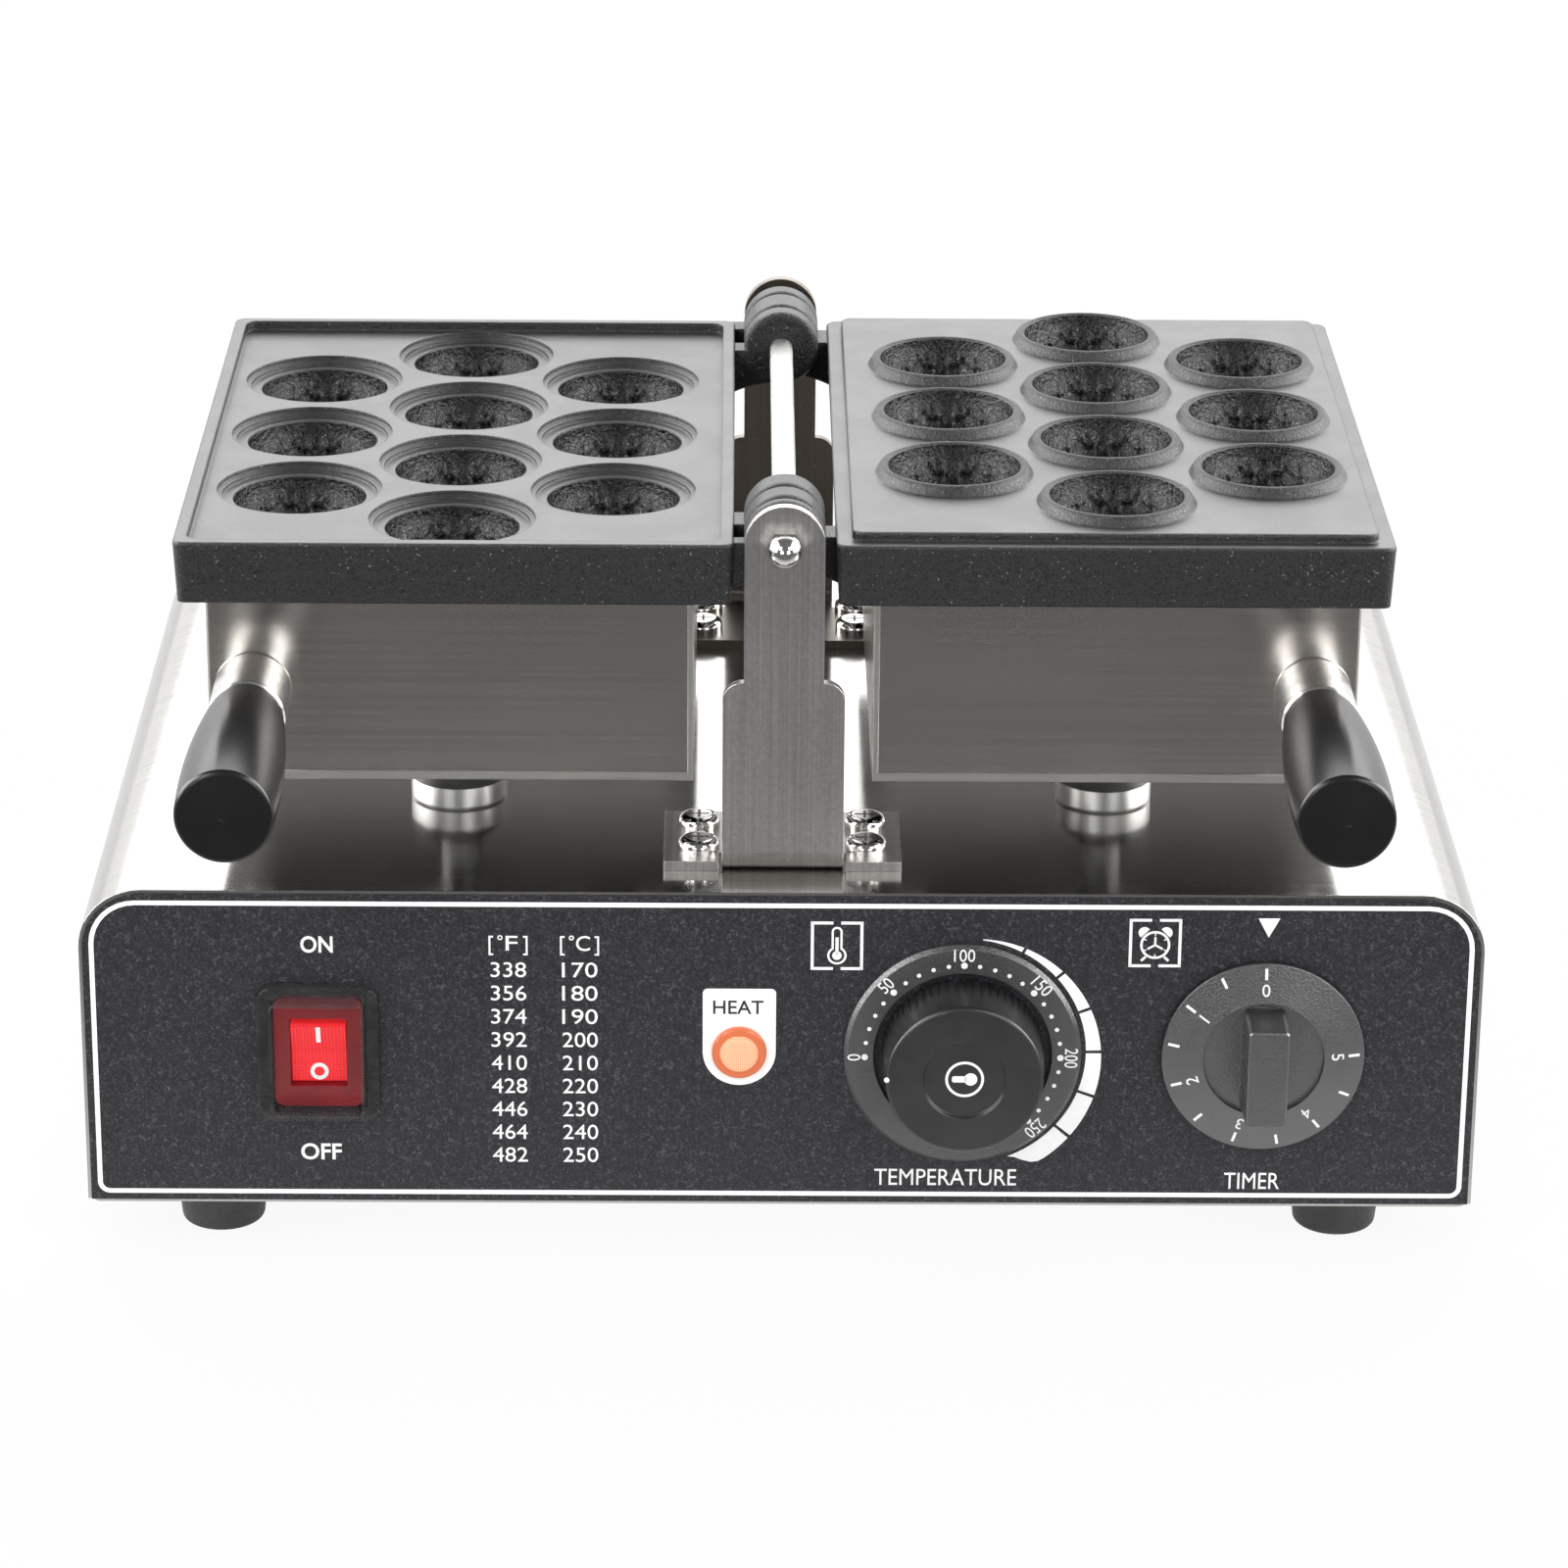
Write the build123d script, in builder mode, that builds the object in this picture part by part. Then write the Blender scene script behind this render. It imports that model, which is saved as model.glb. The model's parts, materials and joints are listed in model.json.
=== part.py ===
from build123d import *
import math
import os

os.makedirs("parts", exist_ok=True)

# A twin-plate walnut cake maker, open: two cast mould plates hinge on one fixed shaft.
# Millimetres. X runs to the right, Y to the back and Z up. The origin is on the surface
# that the machine stands on, under the middle of its whole length and width.

# Housing and its place
base_width = 400.0
base_depth = 280.0
base_height = 96.5
housing_sheet = 1.2
housing_corner = 18.0
housing_lip = 14.0
panel_sheet = 1.2
overlay_sheet = 0.5
overlay_inset = 1.0
floor_sheet = 1.5
floor_inset = 1.2
foot_height = 18.5
axis_rise = 99.2
handle_reach = 70.0
gland_reach = 15.0

front_y = (handle_reach - base_depth - gland_reach) / 2
back_y = front_y + base_depth
base_bottom = foot_height + floor_sheet
base_top = base_bottom + base_height
axis_z = base_top + axis_rise
overlay_y = front_y - overlay_sheet
panel_back_y = front_y + panel_sheet
back_panel_y = back_y - panel_sheet
housing_under = base_top - housing_sheet

# Clearances
screw_clearance = 0.2
thread_clearance = 0.05
shaft_clearance = 0.05
cutout_clearance = 0.3
edge_reach = 0.01

# Feet
foot_radius = 13.8
foot_ground_radius = 12.0
foot_round = 2.0
foot_inset_x = 36.0
foot_inset_y = 31.0
foot_recess_radius = 6.5
foot_recess_depth = 7.5

# Screws and nuts
m4_radius = 2.0
m4_head_radius = 3.8
m4_head_height = 2.4
m4_nut_radius = 3.5
m4_nut_height = 3.2
m5_radius = 2.5
m5_head_radius = 4.6
m5_head_height = 3.0
m6_radius = 3.0
m6_head_radius = 6.0
m6_head_height = 3.8
m6_nut_radius = 5.0
m6_nut_height = 5.0
cross_width = 0.8
cross_depth = 1.2
head_round_share = 0.6
thread_end_gap = 1.0
floor_screw_length = 6.0
floor_screw_spacing = 120.0
device_screw_length = 7.0

# Hinge brackets, each one bent sheet
bracket_sheet = 3.0
bracket_setback = 14.0
bracket_rear_gap = 10.0
bracket_bend = 6.5
post_half_width = 11.3
post_wide_half = 17.3
post_shoulder_rise = 58.1
post_shoulder_round = 5.5
flange_half_width = 34.0
flange_reach = 40.5
flange_front_gap = 2.0
relief_width = 1.0
relief_depth = 7.0
bracket_screw_x = 24.0
bracket_screw_near = 11.8
bracket_screw_far = 29.6

# Shaft and knuckles
shaft_radius = 3.5
shaft_end_reach = 7.5
cap_radius = 4.8
shaft_dome = 2.2
spacer_radius = 5.5
knuckle_radius = 11.5
knuckle_gap = 0.5
knuckle_round = 1.8
knuckle_outer_length = 5.0
knuckle_mid_length = 10.0
knuckle_inner_length = 11.0
rear_mid_length = 13.5
rear_inner_length = 8.2
rear_outer_length = 8.2
arm_top_drop = 0.6
arm_root_depth = 16.0
arm_root_overlap = 3.0
arm_sag = 13.2
dowel_radius = 1.5
dowel_length = 12.0
dowel_inner_x = 8.0
dowel_drop = 8.0

# Mould plates
plate_inner_x = 14.3
plate_width = 157.0
plate_length = 217.0
plate_thickness = 18.0
plate_corner = 3.5
plate_draft = 3.0
plate_edge_round = 0.8
mating_gap = 0.3
rim_width = 3.7
rim_depth = 3.0
border_width = 4.6
field_rise = 2.5
cavity_depth = 16.5
cavity_bands = 5
cavity_front_margin = 32.2
cavity_rear_margin = 27.9
cavity_inner_margin = 34.9
cavity_outer_margin = 31.5
cavity_web = 4.8
mouth_step = 4.5
counterbore_depth = 1.5
seat_step = 1.3
seat_depth = 1.3
ring_base_step = 0.95
ring_top_step = 2.5
ring_rise = 2.8
ring_bevel = 0.6
cup_wall = 2.8
cup_floor = 3.0
cup_foot_radius = 9.0

# Heater boxes under the plates
tray_inner_x = 25.5
tray_width = 138.5
tray_setback = 30.0
tray_length = 190.0
tray_sheet = 1.0
tray_bend = 1.5
stud_inset = 12.0
stud_radius = 4.2
tray_screw_length = 9.0
stud_thread_depth = 8.0
element_radius = 4.0
element_bend = 12.0
element_rear_gap = 22.0
terminal_radius = 1.6
terminal_length = 12.0
clamp_width = 12.0
clamp_sheet = 2.0
clamp_overhang = 7.0
clamp_hold = 6.0
pad_height = 18.0
pad_gap = 3.0
bulb_radius = 2.5
bulb_length = 80.0
bulb_edge_gap = 1.5
bulb_setback = 45.0

# Support feet of the halves
support_x = 95.0
support_setback = 76.0
support_disc_radius = 14.15
support_disc_height = 6.5
support_cone_height = 8.0
support_neck_radius = 5.5
support_disc_chamfer = 0.8
support_drop = 22.3
support_thread_depth = 10.0

# Handles
handle_x = 151.0
handle_drop = 49.5
ferrule_radius = 11.0
ferrule_length = 24.0
ferrule_edge = 0.8
grip_neck_radius = 10.6
grip_belly_radius = 14.0
grip_end_radius = 13.5
grip_belly_share = 0.62
grip_end_round = 3.0
handle_bolt_radius = 4.0
handle_bolt_grip = 45.0
handle_bolt_head_radius = 7.0
handle_bolt_head_height = 5.0

# Controls, all on one line across the front panel
control_rise = 47.5
switch_inset = 67.7
switch_cutout_width = 21.0
switch_cutout_height = 29.0
switch_flange_width = 25.4
switch_flange_height = 33.6
switch_flange_sheet = 2.0
switch_body_depth = 26.0
switch_round = 3.0
rocker_width = 15.6
rocker_half_height = 10.2
rocker_face_reach = 4.4
rocker_notch = 1.4
rocker_root = 3.0
rocker_pivot_depth = 3.0
rocker_tilt = 10.0
rocker_clearance = 0.3
rocker_well_depth = 9.0
tab_width = 6.3
tab_sheet = 0.8
tab_length = 9.0
tab_spacing_x = 10.0
tab_spacing_z = 14.0
hood_width = 35.0
hood_height = 42.0
hood_frame_reach = 4.0
hood_dome_reach = 9.0
hood_wall = 0.9
hood_round = 5.0
hood_window_gap = 0.4
lamp_x = -12.1
lamp_bezel_radius = 7.85
lamp_bezel_reach = 1.8
lamp_lens_radius = 5.6
lamp_lens_reach = 3.2
lamp_body_radius = 4.9
lamp_body_depth = 22.0
thermostat_x = 51.8
scale_radius = 34.0
scale_opening_radius = 25.5
scale_reach = 2.2
scale_bevel = 1.2
thermostat_knob_radius = 23.4
thermostat_knob_face_radius = 22.4
thermostat_knob_back_gap = 1.2
thermostat_knob_reach = 19.5
knob_flutes = 60
knob_flute_radius = 0.55
knob_edge_round = 1.2
knob_dish_radius = 12.0
knob_dish_depth = 1.0
control_shaft_radius = 3.0
control_shaft_grip = 12.0
control_shaft_hold = 9.0
control_hole_radius = 5.5
device_screw_spacing = 28.0
thermostat_body_width = 46.0
thermostat_body_height = 40.0
thermostat_body_depth = 24.0
timer_inset = 62.2
timer_skirt_radius = 29.0
timer_skirt_edge = 1.4
timer_skirt_reach = 3.6
timer_back_gap = 0.8
timer_recess_radius = 17.3
timer_recess_depth = 1.4
timer_bar_width = 12.8
timer_bar_length = 31.0
timer_bar_reach = 19.0
timer_bar_taper = 2.0
timer_bar_round = 0.8
timer_notch_depth = 0.8
timer_notch_pitch = 8.0
timer_notch_count = 3
timer_body_width = 44.0
timer_body_height = 44.0
timer_body_depth = 34.0

# Back panel, floor and inside
vent_length = 36.0
vent_width = 3.6
vent_count = 7
vent_pitch = 9.0
vent_group_x = 90.0
floor_vent_columns = 4
floor_vent_rows = 6
floor_vent_pitch_x = 50.0
floor_vent_pitch_y = 12.0
gland_inset = 50.0
gland_rise = 30.0
gland_thread_radius = 9.0
gland_hex_radius = 12.0
gland_hex_length = 6.0
gland_cap_radius = 10.5
gland_cap_round = 2.0
gland_bore_radius = 4.5
gland_thread_length = 9.0
gland_nut_length = 4.5
lead_edge = 140.0
lead_inset = 28.0
tray_lead_rise = 20.0
grommet_radius = 8.0
grommet_hole_radius = 6.0
grommet_bore_radius = 4.0
grommet_lip = 1.6
terminal_block_width = 52.0
terminal_block_depth = 24.0
terminal_block_height = 20.0
terminal_block_edge = 100.0
terminal_block_inset = 70.0
terminal_block_slots = 3
terminal_block_slot_width = 9.0
terminal_block_slot_depth = 7.0
terminal_block_wall = 4.0
terminal_screw_spacing = 42.0
terminal_lug_height = 8.0

# Places worked out from the sizes above
switch_x = -(base_width / 2 - switch_inset)
timer_x = base_width / 2 - timer_inset
gland_x = base_width / 2 - gland_inset
terminal_block_x = base_width / 2 - terminal_block_edge
lead_x = base_width / 2 - lead_edge
control_z = base_bottom + control_rise
plate_front_y = front_y + bracket_setback
plate_mid_y = plate_front_y + plate_length / 2
bracket_span = plate_length + bracket_rear_gap
plate_top_z = axis_z - mating_gap / 2
plate_under_z = plate_top_z - plate_thickness
plate_mid_x = plate_inner_x + plate_width / 2
cavity_pitch = (plate_length - cavity_front_margin - cavity_rear_margin) / 3
cavity_column_pitch = (plate_width - cavity_inner_margin - cavity_outer_margin) / 2
cavity_column_x = plate_inner_x + cavity_inner_margin + cavity_column_pitch
cavity_spacing = min(cavity_pitch, math.hypot(cavity_column_pitch, cavity_pitch / 2))
counterbore_radius = (cavity_spacing - cavity_web) / 2
seat_radius = counterbore_radius - seat_step
cavity_mouth_radius = counterbore_radius - mouth_step
ring_base_radius = counterbore_radius - ring_base_step
ring_top_radius = counterbore_radius - ring_top_step
ring_top_z = plate_top_z + field_rise + ring_rise
field_floor_z = plate_top_z - rim_depth
seat_floor_z = field_floor_z - counterbore_depth - seat_depth
cavity_sphere_rise = (cavity_mouth_radius**2 - cavity_depth**2) / (2 * cavity_depth)
cavity_sphere_radius = cavity_depth + cavity_sphere_rise
tray_bottom_z = base_top + support_drop
tray_front_y = front_y + tray_setback
tray_back_y = tray_front_y + tray_length
tray_mid_y = tray_front_y + tray_length / 2
tray_mid_x = tray_inner_x + tray_width / 2
tray_floor_z = tray_bottom_z + tray_sheet
element_z = plate_under_z - element_radius
handle_z = axis_z - handle_drop
handle_tip_y = front_y - handle_reach
ferrule_front_y = tray_front_y - ferrule_length
rear_bracket_y = plate_front_y + bracket_span
post_inner_y = plate_front_y + bracket_sheet
rear_post_inner_y = rear_bracket_y - bracket_sheet
pivot_y = overlay_y + rocker_pivot_depth
scale_front_y = overlay_y - scale_reach
plate_back_y = plate_front_y + plate_length


def front_plane(y: float) -> Plane:
    """A plane that faces the front of the machine at depth y."""
    return Plane.XZ.offset(-y)


def arch(inset: float) -> Sketch:
    """The housing's front outline, drawn in by inset at the sides and the top."""
    half = base_width / 2 - inset
    top = base_top - inset
    corner = housing_corner - inset
    with BuildSketch() as outline:
        with BuildLine():
            Polyline((-half, top - corner), (-half, base_bottom), (half, base_bottom), (half, top - corner))
            RadiusArc((half, top - corner), (half - corner, top), -corner)
            Line((half - corner, top), (-half + corner, top))
            RadiusArc((-half + corner, top), (-half, top - corner), -corner)
        make_face()
    return outline.sketch


def pan_screw(radius: float, head_radius: float, head_height: float, length: float) -> BuildPart:
    """A pan-head screw whose head sits on z = 0 with its shank pointing down."""
    with BuildPart() as screw:
        Cylinder(head_radius, head_height, align=(Align.CENTER, Align.CENTER, Align.MIN))
        fillet(screw.edges().group_by(Axis.Z)[-1], head_height * head_round_share)
        Cylinder(radius, length, align=(Align.CENTER, Align.CENTER, Align.MAX))
        with Locations((0, 0, head_height)):
            for width, depth in ((head_radius, cross_width), (cross_width, head_radius)):
                Box(
                    width,
                    depth,
                    cross_depth,
                    align=(Align.CENTER, Align.CENTER, Align.MAX),
                    mode=Mode.SUBTRACT,
                )
    return screw


def hex_nut(radius: float, hex_radius: float, height: float) -> BuildPart:
    """A hex nut that stands on z = 0, hex_radius being half its width across flats."""
    with BuildPart() as nut:
        with BuildSketch():
            RegularPolygon(hex_radius, 6, major_radius=False)
            Circle(radius + thread_clearance, mode=Mode.SUBTRACT)
        extrude(amount=height)
    return nut


def cap_nut() -> BuildPart:
    """A domed M6 nut that stands on z = 0, its thread ending under the dome."""
    with BuildPart() as nut:
        with BuildSketch():
            RegularPolygon(m6_nut_radius, 6, major_radius=False)
        extrude(amount=m6_nut_height)
        with Locations((0, 0, m6_nut_height)):
            Sphere(cap_radius)
        Cylinder(
            m6_radius + thread_clearance,
            shaft_end_reach + thread_end_gap / 2,
            align=(Align.CENTER, Align.CENTER, Align.MIN),
            mode=Mode.SUBTRACT,
        )
    return nut


def save(piece: BuildPart, name: str) -> None:
    """Label a finished piece and write it as its own file."""
    piece.part.label = name
    export_step(piece.part, f"parts/{name}.step")


# Places that several pieces share
foot_places = [
    (sx * (base_width / 2 - foot_inset_x), y)
    for y in (front_y + foot_inset_y, back_y - foot_inset_y)
    for sx in (-1, 1)
]
bracket_screw_places = [
    (sx * bracket_screw_x, y)
    for y in (
        plate_front_y + bracket_screw_near,
        plate_front_y + bracket_screw_far,
        rear_bracket_y - bracket_screw_far,
        rear_bracket_y - bracket_screw_near,
    )
    for sx in (-1, 1)
]
floor_screw_x = base_width / 2 - housing_sheet - housing_lip / 2
floor_screw_places = [
    (sx * floor_screw_x, (front_y + back_y) / 2 + sy * floor_screw_spacing / 2)
    for sx in (-1, 1)
    for sy in (-1, 1)
]
lead_y = back_y - lead_inset
lead_places = [(-lead_x, lead_y), (lead_x, lead_y)]
terminal_block_y = back_y - terminal_block_inset
terminal_screw_places = [
    (terminal_block_x + s * terminal_screw_spacing / 2, terminal_block_y) for s in (-1, 1)
]

# Housing shell: top and both sides in one wrap, with lips for the bottom plate
with BuildPart() as housing_shell:
    with BuildSketch(front_plane(front_y)):
        add(arch(0))
    extrude(amount=-base_depth)
    with BuildSketch(front_plane(front_y)):
        add(arch(housing_sheet))
    extrude(amount=-base_depth, mode=Mode.SUBTRACT)
    lip_length = base_depth - 2 * panel_sheet
    with Locations(
        *[(sx * floor_screw_x, (front_y + back_y) / 2, base_bottom + housing_sheet / 2) for sx in (-1, 1)]
    ):
        Box(housing_lip, lip_length, housing_sheet)
        with GridLocations(1, floor_screw_spacing, 1, 2):
            Cylinder(m4_radius + thread_clearance, housing_sheet, mode=Mode.SUBTRACT)
    with BuildSketch(Plane.XY.offset(base_top)):
        with Locations(*bracket_screw_places):
            Circle(m6_radius + screw_clearance)
        with Locations(*lead_places):
            Circle(grommet_hole_radius)
    extrude(amount=-housing_sheet, mode=Mode.SUBTRACT)

# Front panel, flush with the front edge of the shell
with BuildPart() as front_panel:
    with BuildSketch(front_plane(front_y)):
        add(arch(housing_sheet))
        with Locations((switch_x, control_z)):
            Rectangle(switch_cutout_width, switch_cutout_height, mode=Mode.SUBTRACT)
        with Locations((lamp_x, control_z)):
            Circle(lamp_body_radius + cutout_clearance, mode=Mode.SUBTRACT)
        with Locations((thermostat_x, control_z), (timer_x, control_z)):
            Circle(control_hole_radius, mode=Mode.SUBTRACT)
            with GridLocations(device_screw_spacing, 1, 2, 1):
                Circle(m4_radius + screw_clearance, mode=Mode.SUBTRACT)
    extrude(amount=-panel_sheet)

# Printed overlay on the front panel
with BuildPart() as control_overlay:
    with BuildSketch(front_plane(front_y)):
        add(arch(overlay_inset))
        with Locations((switch_x, control_z)):
            Rectangle(switch_cutout_width, switch_cutout_height, mode=Mode.SUBTRACT)
        with Locations((lamp_x, control_z)):
            Circle(lamp_body_radius + cutout_clearance, mode=Mode.SUBTRACT)
        with Locations((thermostat_x, control_z), (timer_x, control_z)):
            Circle(control_hole_radius, mode=Mode.SUBTRACT)
            with GridLocations(device_screw_spacing, 1, 2, 1):
                Circle(m4_head_radius + screw_clearance, mode=Mode.SUBTRACT)
    extrude(amount=overlay_sheet)

# Back panel with two groups of vent slots and the hole of the cable gland
with BuildPart() as back_panel:
    with BuildSketch(front_plane(back_panel_y)):
        add(arch(housing_sheet))
        with Locations((-vent_group_x, control_z), (0, control_z)):
            with GridLocations(1, vent_pitch, 1, vent_count):
                SlotOverall(vent_length, vent_width, mode=Mode.SUBTRACT)
        with Locations((gland_x, base_bottom + gland_rise)):
            Circle(gland_thread_radius + cutout_clearance, mode=Mode.SUBTRACT)
    extrude(amount=-panel_sheet)

# Bottom plate, screwed under the lips of the shell
with BuildPart() as bottom_plate:
    with BuildSketch(Plane.XY.offset(foot_height)):
        with Locations((0, (front_y + back_y) / 2)):
            RectangleRounded(base_width - 2 * floor_inset, base_depth - 2 * floor_inset, 2 * floor_inset)
            with GridLocations(floor_vent_pitch_x, floor_vent_pitch_y, floor_vent_columns, floor_vent_rows):
                SlotOverall(vent_length, vent_width, mode=Mode.SUBTRACT)
        with Locations(*foot_places, *floor_screw_places, *terminal_screw_places):
            Circle(m4_radius + screw_clearance, mode=Mode.SUBTRACT)
    extrude(amount=floor_sheet)

with BuildPart() as floor_screw:
    add(pan_screw(m4_radius, m4_head_radius, m4_head_height, floor_screw_length).part)

with BuildPart() as bottom_screws:
    with Locations(*[Location((x, y, foot_height), (180, 0, 0)) for x, y in floor_screw_places]):
        add(floor_screw.part)

# Rubber feet, with their screws going up into nuts on the bottom plate
with BuildPart() as rubber_feet:
    with Locations(*[(x, y, 0) for x, y in foot_places]):
        Cone(foot_ground_radius, foot_radius, foot_height, align=(Align.CENTER, Align.CENTER, Align.MIN))
        with Locations((0, 0, foot_recess_depth)):
            Cylinder(
                foot_recess_radius,
                foot_recess_depth,
                align=(Align.CENTER, Align.CENTER, Align.MAX),
                mode=Mode.SUBTRACT,
            )
        Cylinder(
            m4_radius + screw_clearance,
            foot_height,
            align=(Align.CENTER, Align.CENTER, Align.MIN),
            mode=Mode.SUBTRACT,
        )
    ground_edges = rubber_feet.edges().filter_by(GeomType.CIRCLE).group_by(Axis.Z)[0]
    fillet(ground_edges.filter_by(lambda e: e.radius > foot_recess_radius), foot_round)

foot_screw_length = foot_height - foot_recess_depth + floor_sheet + m4_nut_height + thread_end_gap
with BuildPart() as foot_screws:
    foot_screw = pan_screw(m4_radius, m4_head_radius, m4_head_height, foot_screw_length).part
    with Locations(*[Location((x, y, foot_recess_depth), (180, 0, 0)) for x, y in foot_places]):
        add(foot_screw)

# Hinge brackets: a foot flange bent up into a post with a round top
with BuildPart() as front_hinge_bracket:
    with BuildSketch(Plane.YZ):
        with BuildLine():
            post_top = axis_z + post_half_width
            Polyline(
                (plate_front_y, base_top),
                (plate_front_y + flange_reach, base_top),
                (plate_front_y + flange_reach, base_top + bracket_sheet),
                (plate_front_y + bracket_sheet, base_top + bracket_sheet),
                (plate_front_y + bracket_sheet, post_top),
                (plate_front_y, post_top),
                close=True,
            )
        make_face()
    extrude(amount=post_wide_half, both=True)
    bend_edges = front_hinge_bracket.edges().filter_by(Axis.X)
    fillet(bend_edges.sort_by(Axis.Y).sort_by(Axis.Z)[0], bracket_bend)
    inner_bend = bend_edges.sort_by_distance((0, plate_front_y + bracket_sheet, base_top + bracket_sheet))[0]
    fillet(inner_bend, bracket_bend - bracket_sheet)
    with BuildSketch(front_plane(plate_front_y)) as post_face:
        with Locations((0, base_top)):
            Rectangle(2 * post_wide_half, post_shoulder_rise, align=(Align.CENTER, Align.MIN))
        fillet(post_face.vertices().group_by(Axis.Y)[-1], post_shoulder_round)
        with Locations((0, base_top)):
            Rectangle(2 * post_half_width, axis_z - base_top, align=(Align.CENTER, Align.MIN))
        with Locations((0, axis_z)):
            Circle(post_half_width)
    extrude(amount=-flange_reach, mode=Mode.INTERSECT)
    with BuildSketch(Plane.XY.offset(base_top)):
        with Locations((0, plate_front_y + flange_reach)):
            Rectangle(
                2 * flange_half_width, flange_reach - flange_front_gap, align=(Align.CENTER, Align.MAX)
            )
        with Locations((0, plate_front_y)):
            Rectangle(
                2 * (post_wide_half + relief_width),
                flange_front_gap + relief_depth,
                align=(Align.CENTER, Align.MIN),
                mode=Mode.SUBTRACT,
            )
    extrude(amount=bracket_sheet)
    with BuildSketch(Plane.XY.offset(base_top)):
        with Locations(
            *[
                (sx * bracket_screw_x, plate_front_y + reach)
                for sx in (-1, 1)
                for reach in (bracket_screw_near, bracket_screw_far)
            ]
        ):
            Circle(m6_radius + screw_clearance)
    extrude(amount=bracket_sheet, mode=Mode.SUBTRACT)
    with BuildSketch(front_plane(plate_front_y)):
        with Locations((0, axis_z)):
            Circle(m6_radius + screw_clearance)
    extrude(amount=-bracket_sheet, mode=Mode.SUBTRACT)

with BuildPart() as rear_hinge_bracket:
    bracket_mid_y = (plate_front_y + rear_bracket_y) / 2
    mirror(front_hinge_bracket.part, about=front_plane(bracket_mid_y))

bracket_screw_length = bracket_sheet + housing_sheet + m6_nut_height + thread_end_gap
with BuildPart() as bracket_screws:
    bracket_screw = pan_screw(m6_radius, m6_head_radius, m6_head_height, bracket_screw_length).part
    with Locations(*[(x, y, base_top + bracket_sheet) for x, y in bracket_screw_places]):
        add(bracket_screw)

# Nuts inside the base: M6 under the brackets, M4 over the feet
with BuildPart() as base_nuts:
    with Locations(*[(x, y, housing_under - m6_nut_height) for x, y in bracket_screw_places]):
        add(hex_nut(m6_radius, m6_nut_radius, m6_nut_height).part)
    with Locations(*[(x, y, base_bottom) for x, y in foot_places]):
        add(hex_nut(m4_radius, m4_nut_radius, m4_nut_height).part)

# Fixed hinge shaft, stepped down where it goes through the posts, with domed ends
with BuildPart() as hinge_shaft:
    with BuildSketch(front_plane(post_inner_y)):
        with Locations((0, axis_z)):
            Circle(shaft_radius)
    extrude(amount=-(rear_post_inner_y - post_inner_y))
    with BuildSketch(front_plane(plate_front_y - shaft_end_reach)):
        with Locations((0, axis_z)):
            Circle(m6_radius)
    extrude(amount=-(bracket_span + 2 * shaft_end_reach))
    shaft_ends = hinge_shaft.edges().filter_by(GeomType.CIRCLE).group_by(Axis.Y)
    fillet(shaft_ends[0] + shaft_ends[-1], shaft_dome)

with BuildPart() as shaft_nuts:
    with Locations(
        Location((0, plate_front_y, axis_z), (90, 0, 0)),
        Location((0, rear_bracket_y, axis_z), (-90, 0, 0)),
    ):
        add(cap_nut().part)

# Knuckle stations along the shaft, from the front post to the rear post
front_k1 = post_inner_y + knuckle_gap
front_k2 = front_k1 + knuckle_outer_length + knuckle_gap
front_k3 = front_k2 + knuckle_mid_length + knuckle_gap
rear_k3_end = plate_back_y
rear_k3 = rear_k3_end - rear_outer_length
rear_k2 = rear_k3 - knuckle_gap - rear_mid_length
rear_k1 = rear_k2 - knuckle_gap - rear_inner_length
left_knuckles = [
    (front_k1, knuckle_outer_length),
    (front_k3, knuckle_inner_length),
    (rear_k1, rear_inner_length),
    (rear_k3, rear_outer_length),
]
right_knuckles = [(front_k2, knuckle_mid_length), (rear_k2, rear_mid_length)]

with BuildPart() as shaft_spacer:
    with BuildSketch(front_plane(rear_k3_end + knuckle_gap)):
        with Locations((0, axis_z)):
            Circle(spacer_radius)
            Circle(shaft_radius + shaft_clearance, mode=Mode.SUBTRACT)
    extrude(amount=-(rear_post_inner_y - rear_k3_end - knuckle_gap))


def cavity_places(side: int, z: float) -> list:
    """Centres of a plate's cavities: a column of four between two columns of three."""
    first_y = plate_front_y + cavity_front_margin
    middle = [(side * cavity_column_x, first_y + row * cavity_pitch, z) for row in range(4)]
    outer = [
        (side * (cavity_column_x + col * cavity_column_pitch), first_y + (row + 0.5) * cavity_pitch, z)
        for col in (-1, 1)
        for row in range(3)
    ]
    return middle + outer


def stud_places(side: int) -> list:
    """Centres of the four studs between a plate and its heater box."""
    return [
        (side * x, y)
        for x in (tray_inner_x + stud_inset, tray_inner_x + tray_width - stud_inset)
        for y in (tray_front_y + stud_inset, tray_back_y - stud_inset)
    ]


def clamp_place(side: int) -> tuple:
    """Centre of the element clamp, between the two middle cavities."""
    return (side * cavity_column_x, plate_front_y + cavity_front_margin + 1.5 * cavity_pitch)


def plate_blank(side: int) -> BuildPart:
    """The outer form of a mould plate, before its cavities."""
    with BuildPart() as blank:
        with BuildSketch(Plane.XY.offset(plate_top_z)):
            with Locations((side * plate_mid_x, plate_mid_y)):
                RectangleRounded(plate_width, plate_length, plate_corner)
        extrude(amount=plate_thickness, dir=(0, 0, -1), taper=plate_draft)
        fillet(blank.edges().group_by(Axis.Z)[-1], plate_edge_round)
    return blank


def dowels(side: int, knuckles: list, radius: float) -> BuildPart:
    """Round pins along X, one from each hinge arm into the plate's inner edge."""
    with BuildPart() as pins:
        with BuildSketch(Plane.YZ.offset(side * dowel_inner_x)):
            with Locations(*[(start + length / 2, axis_z - dowel_drop) for start, length in knuckles]):
                Circle(radius)
        extrude(amount=side * dowel_length)
    return pins


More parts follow.
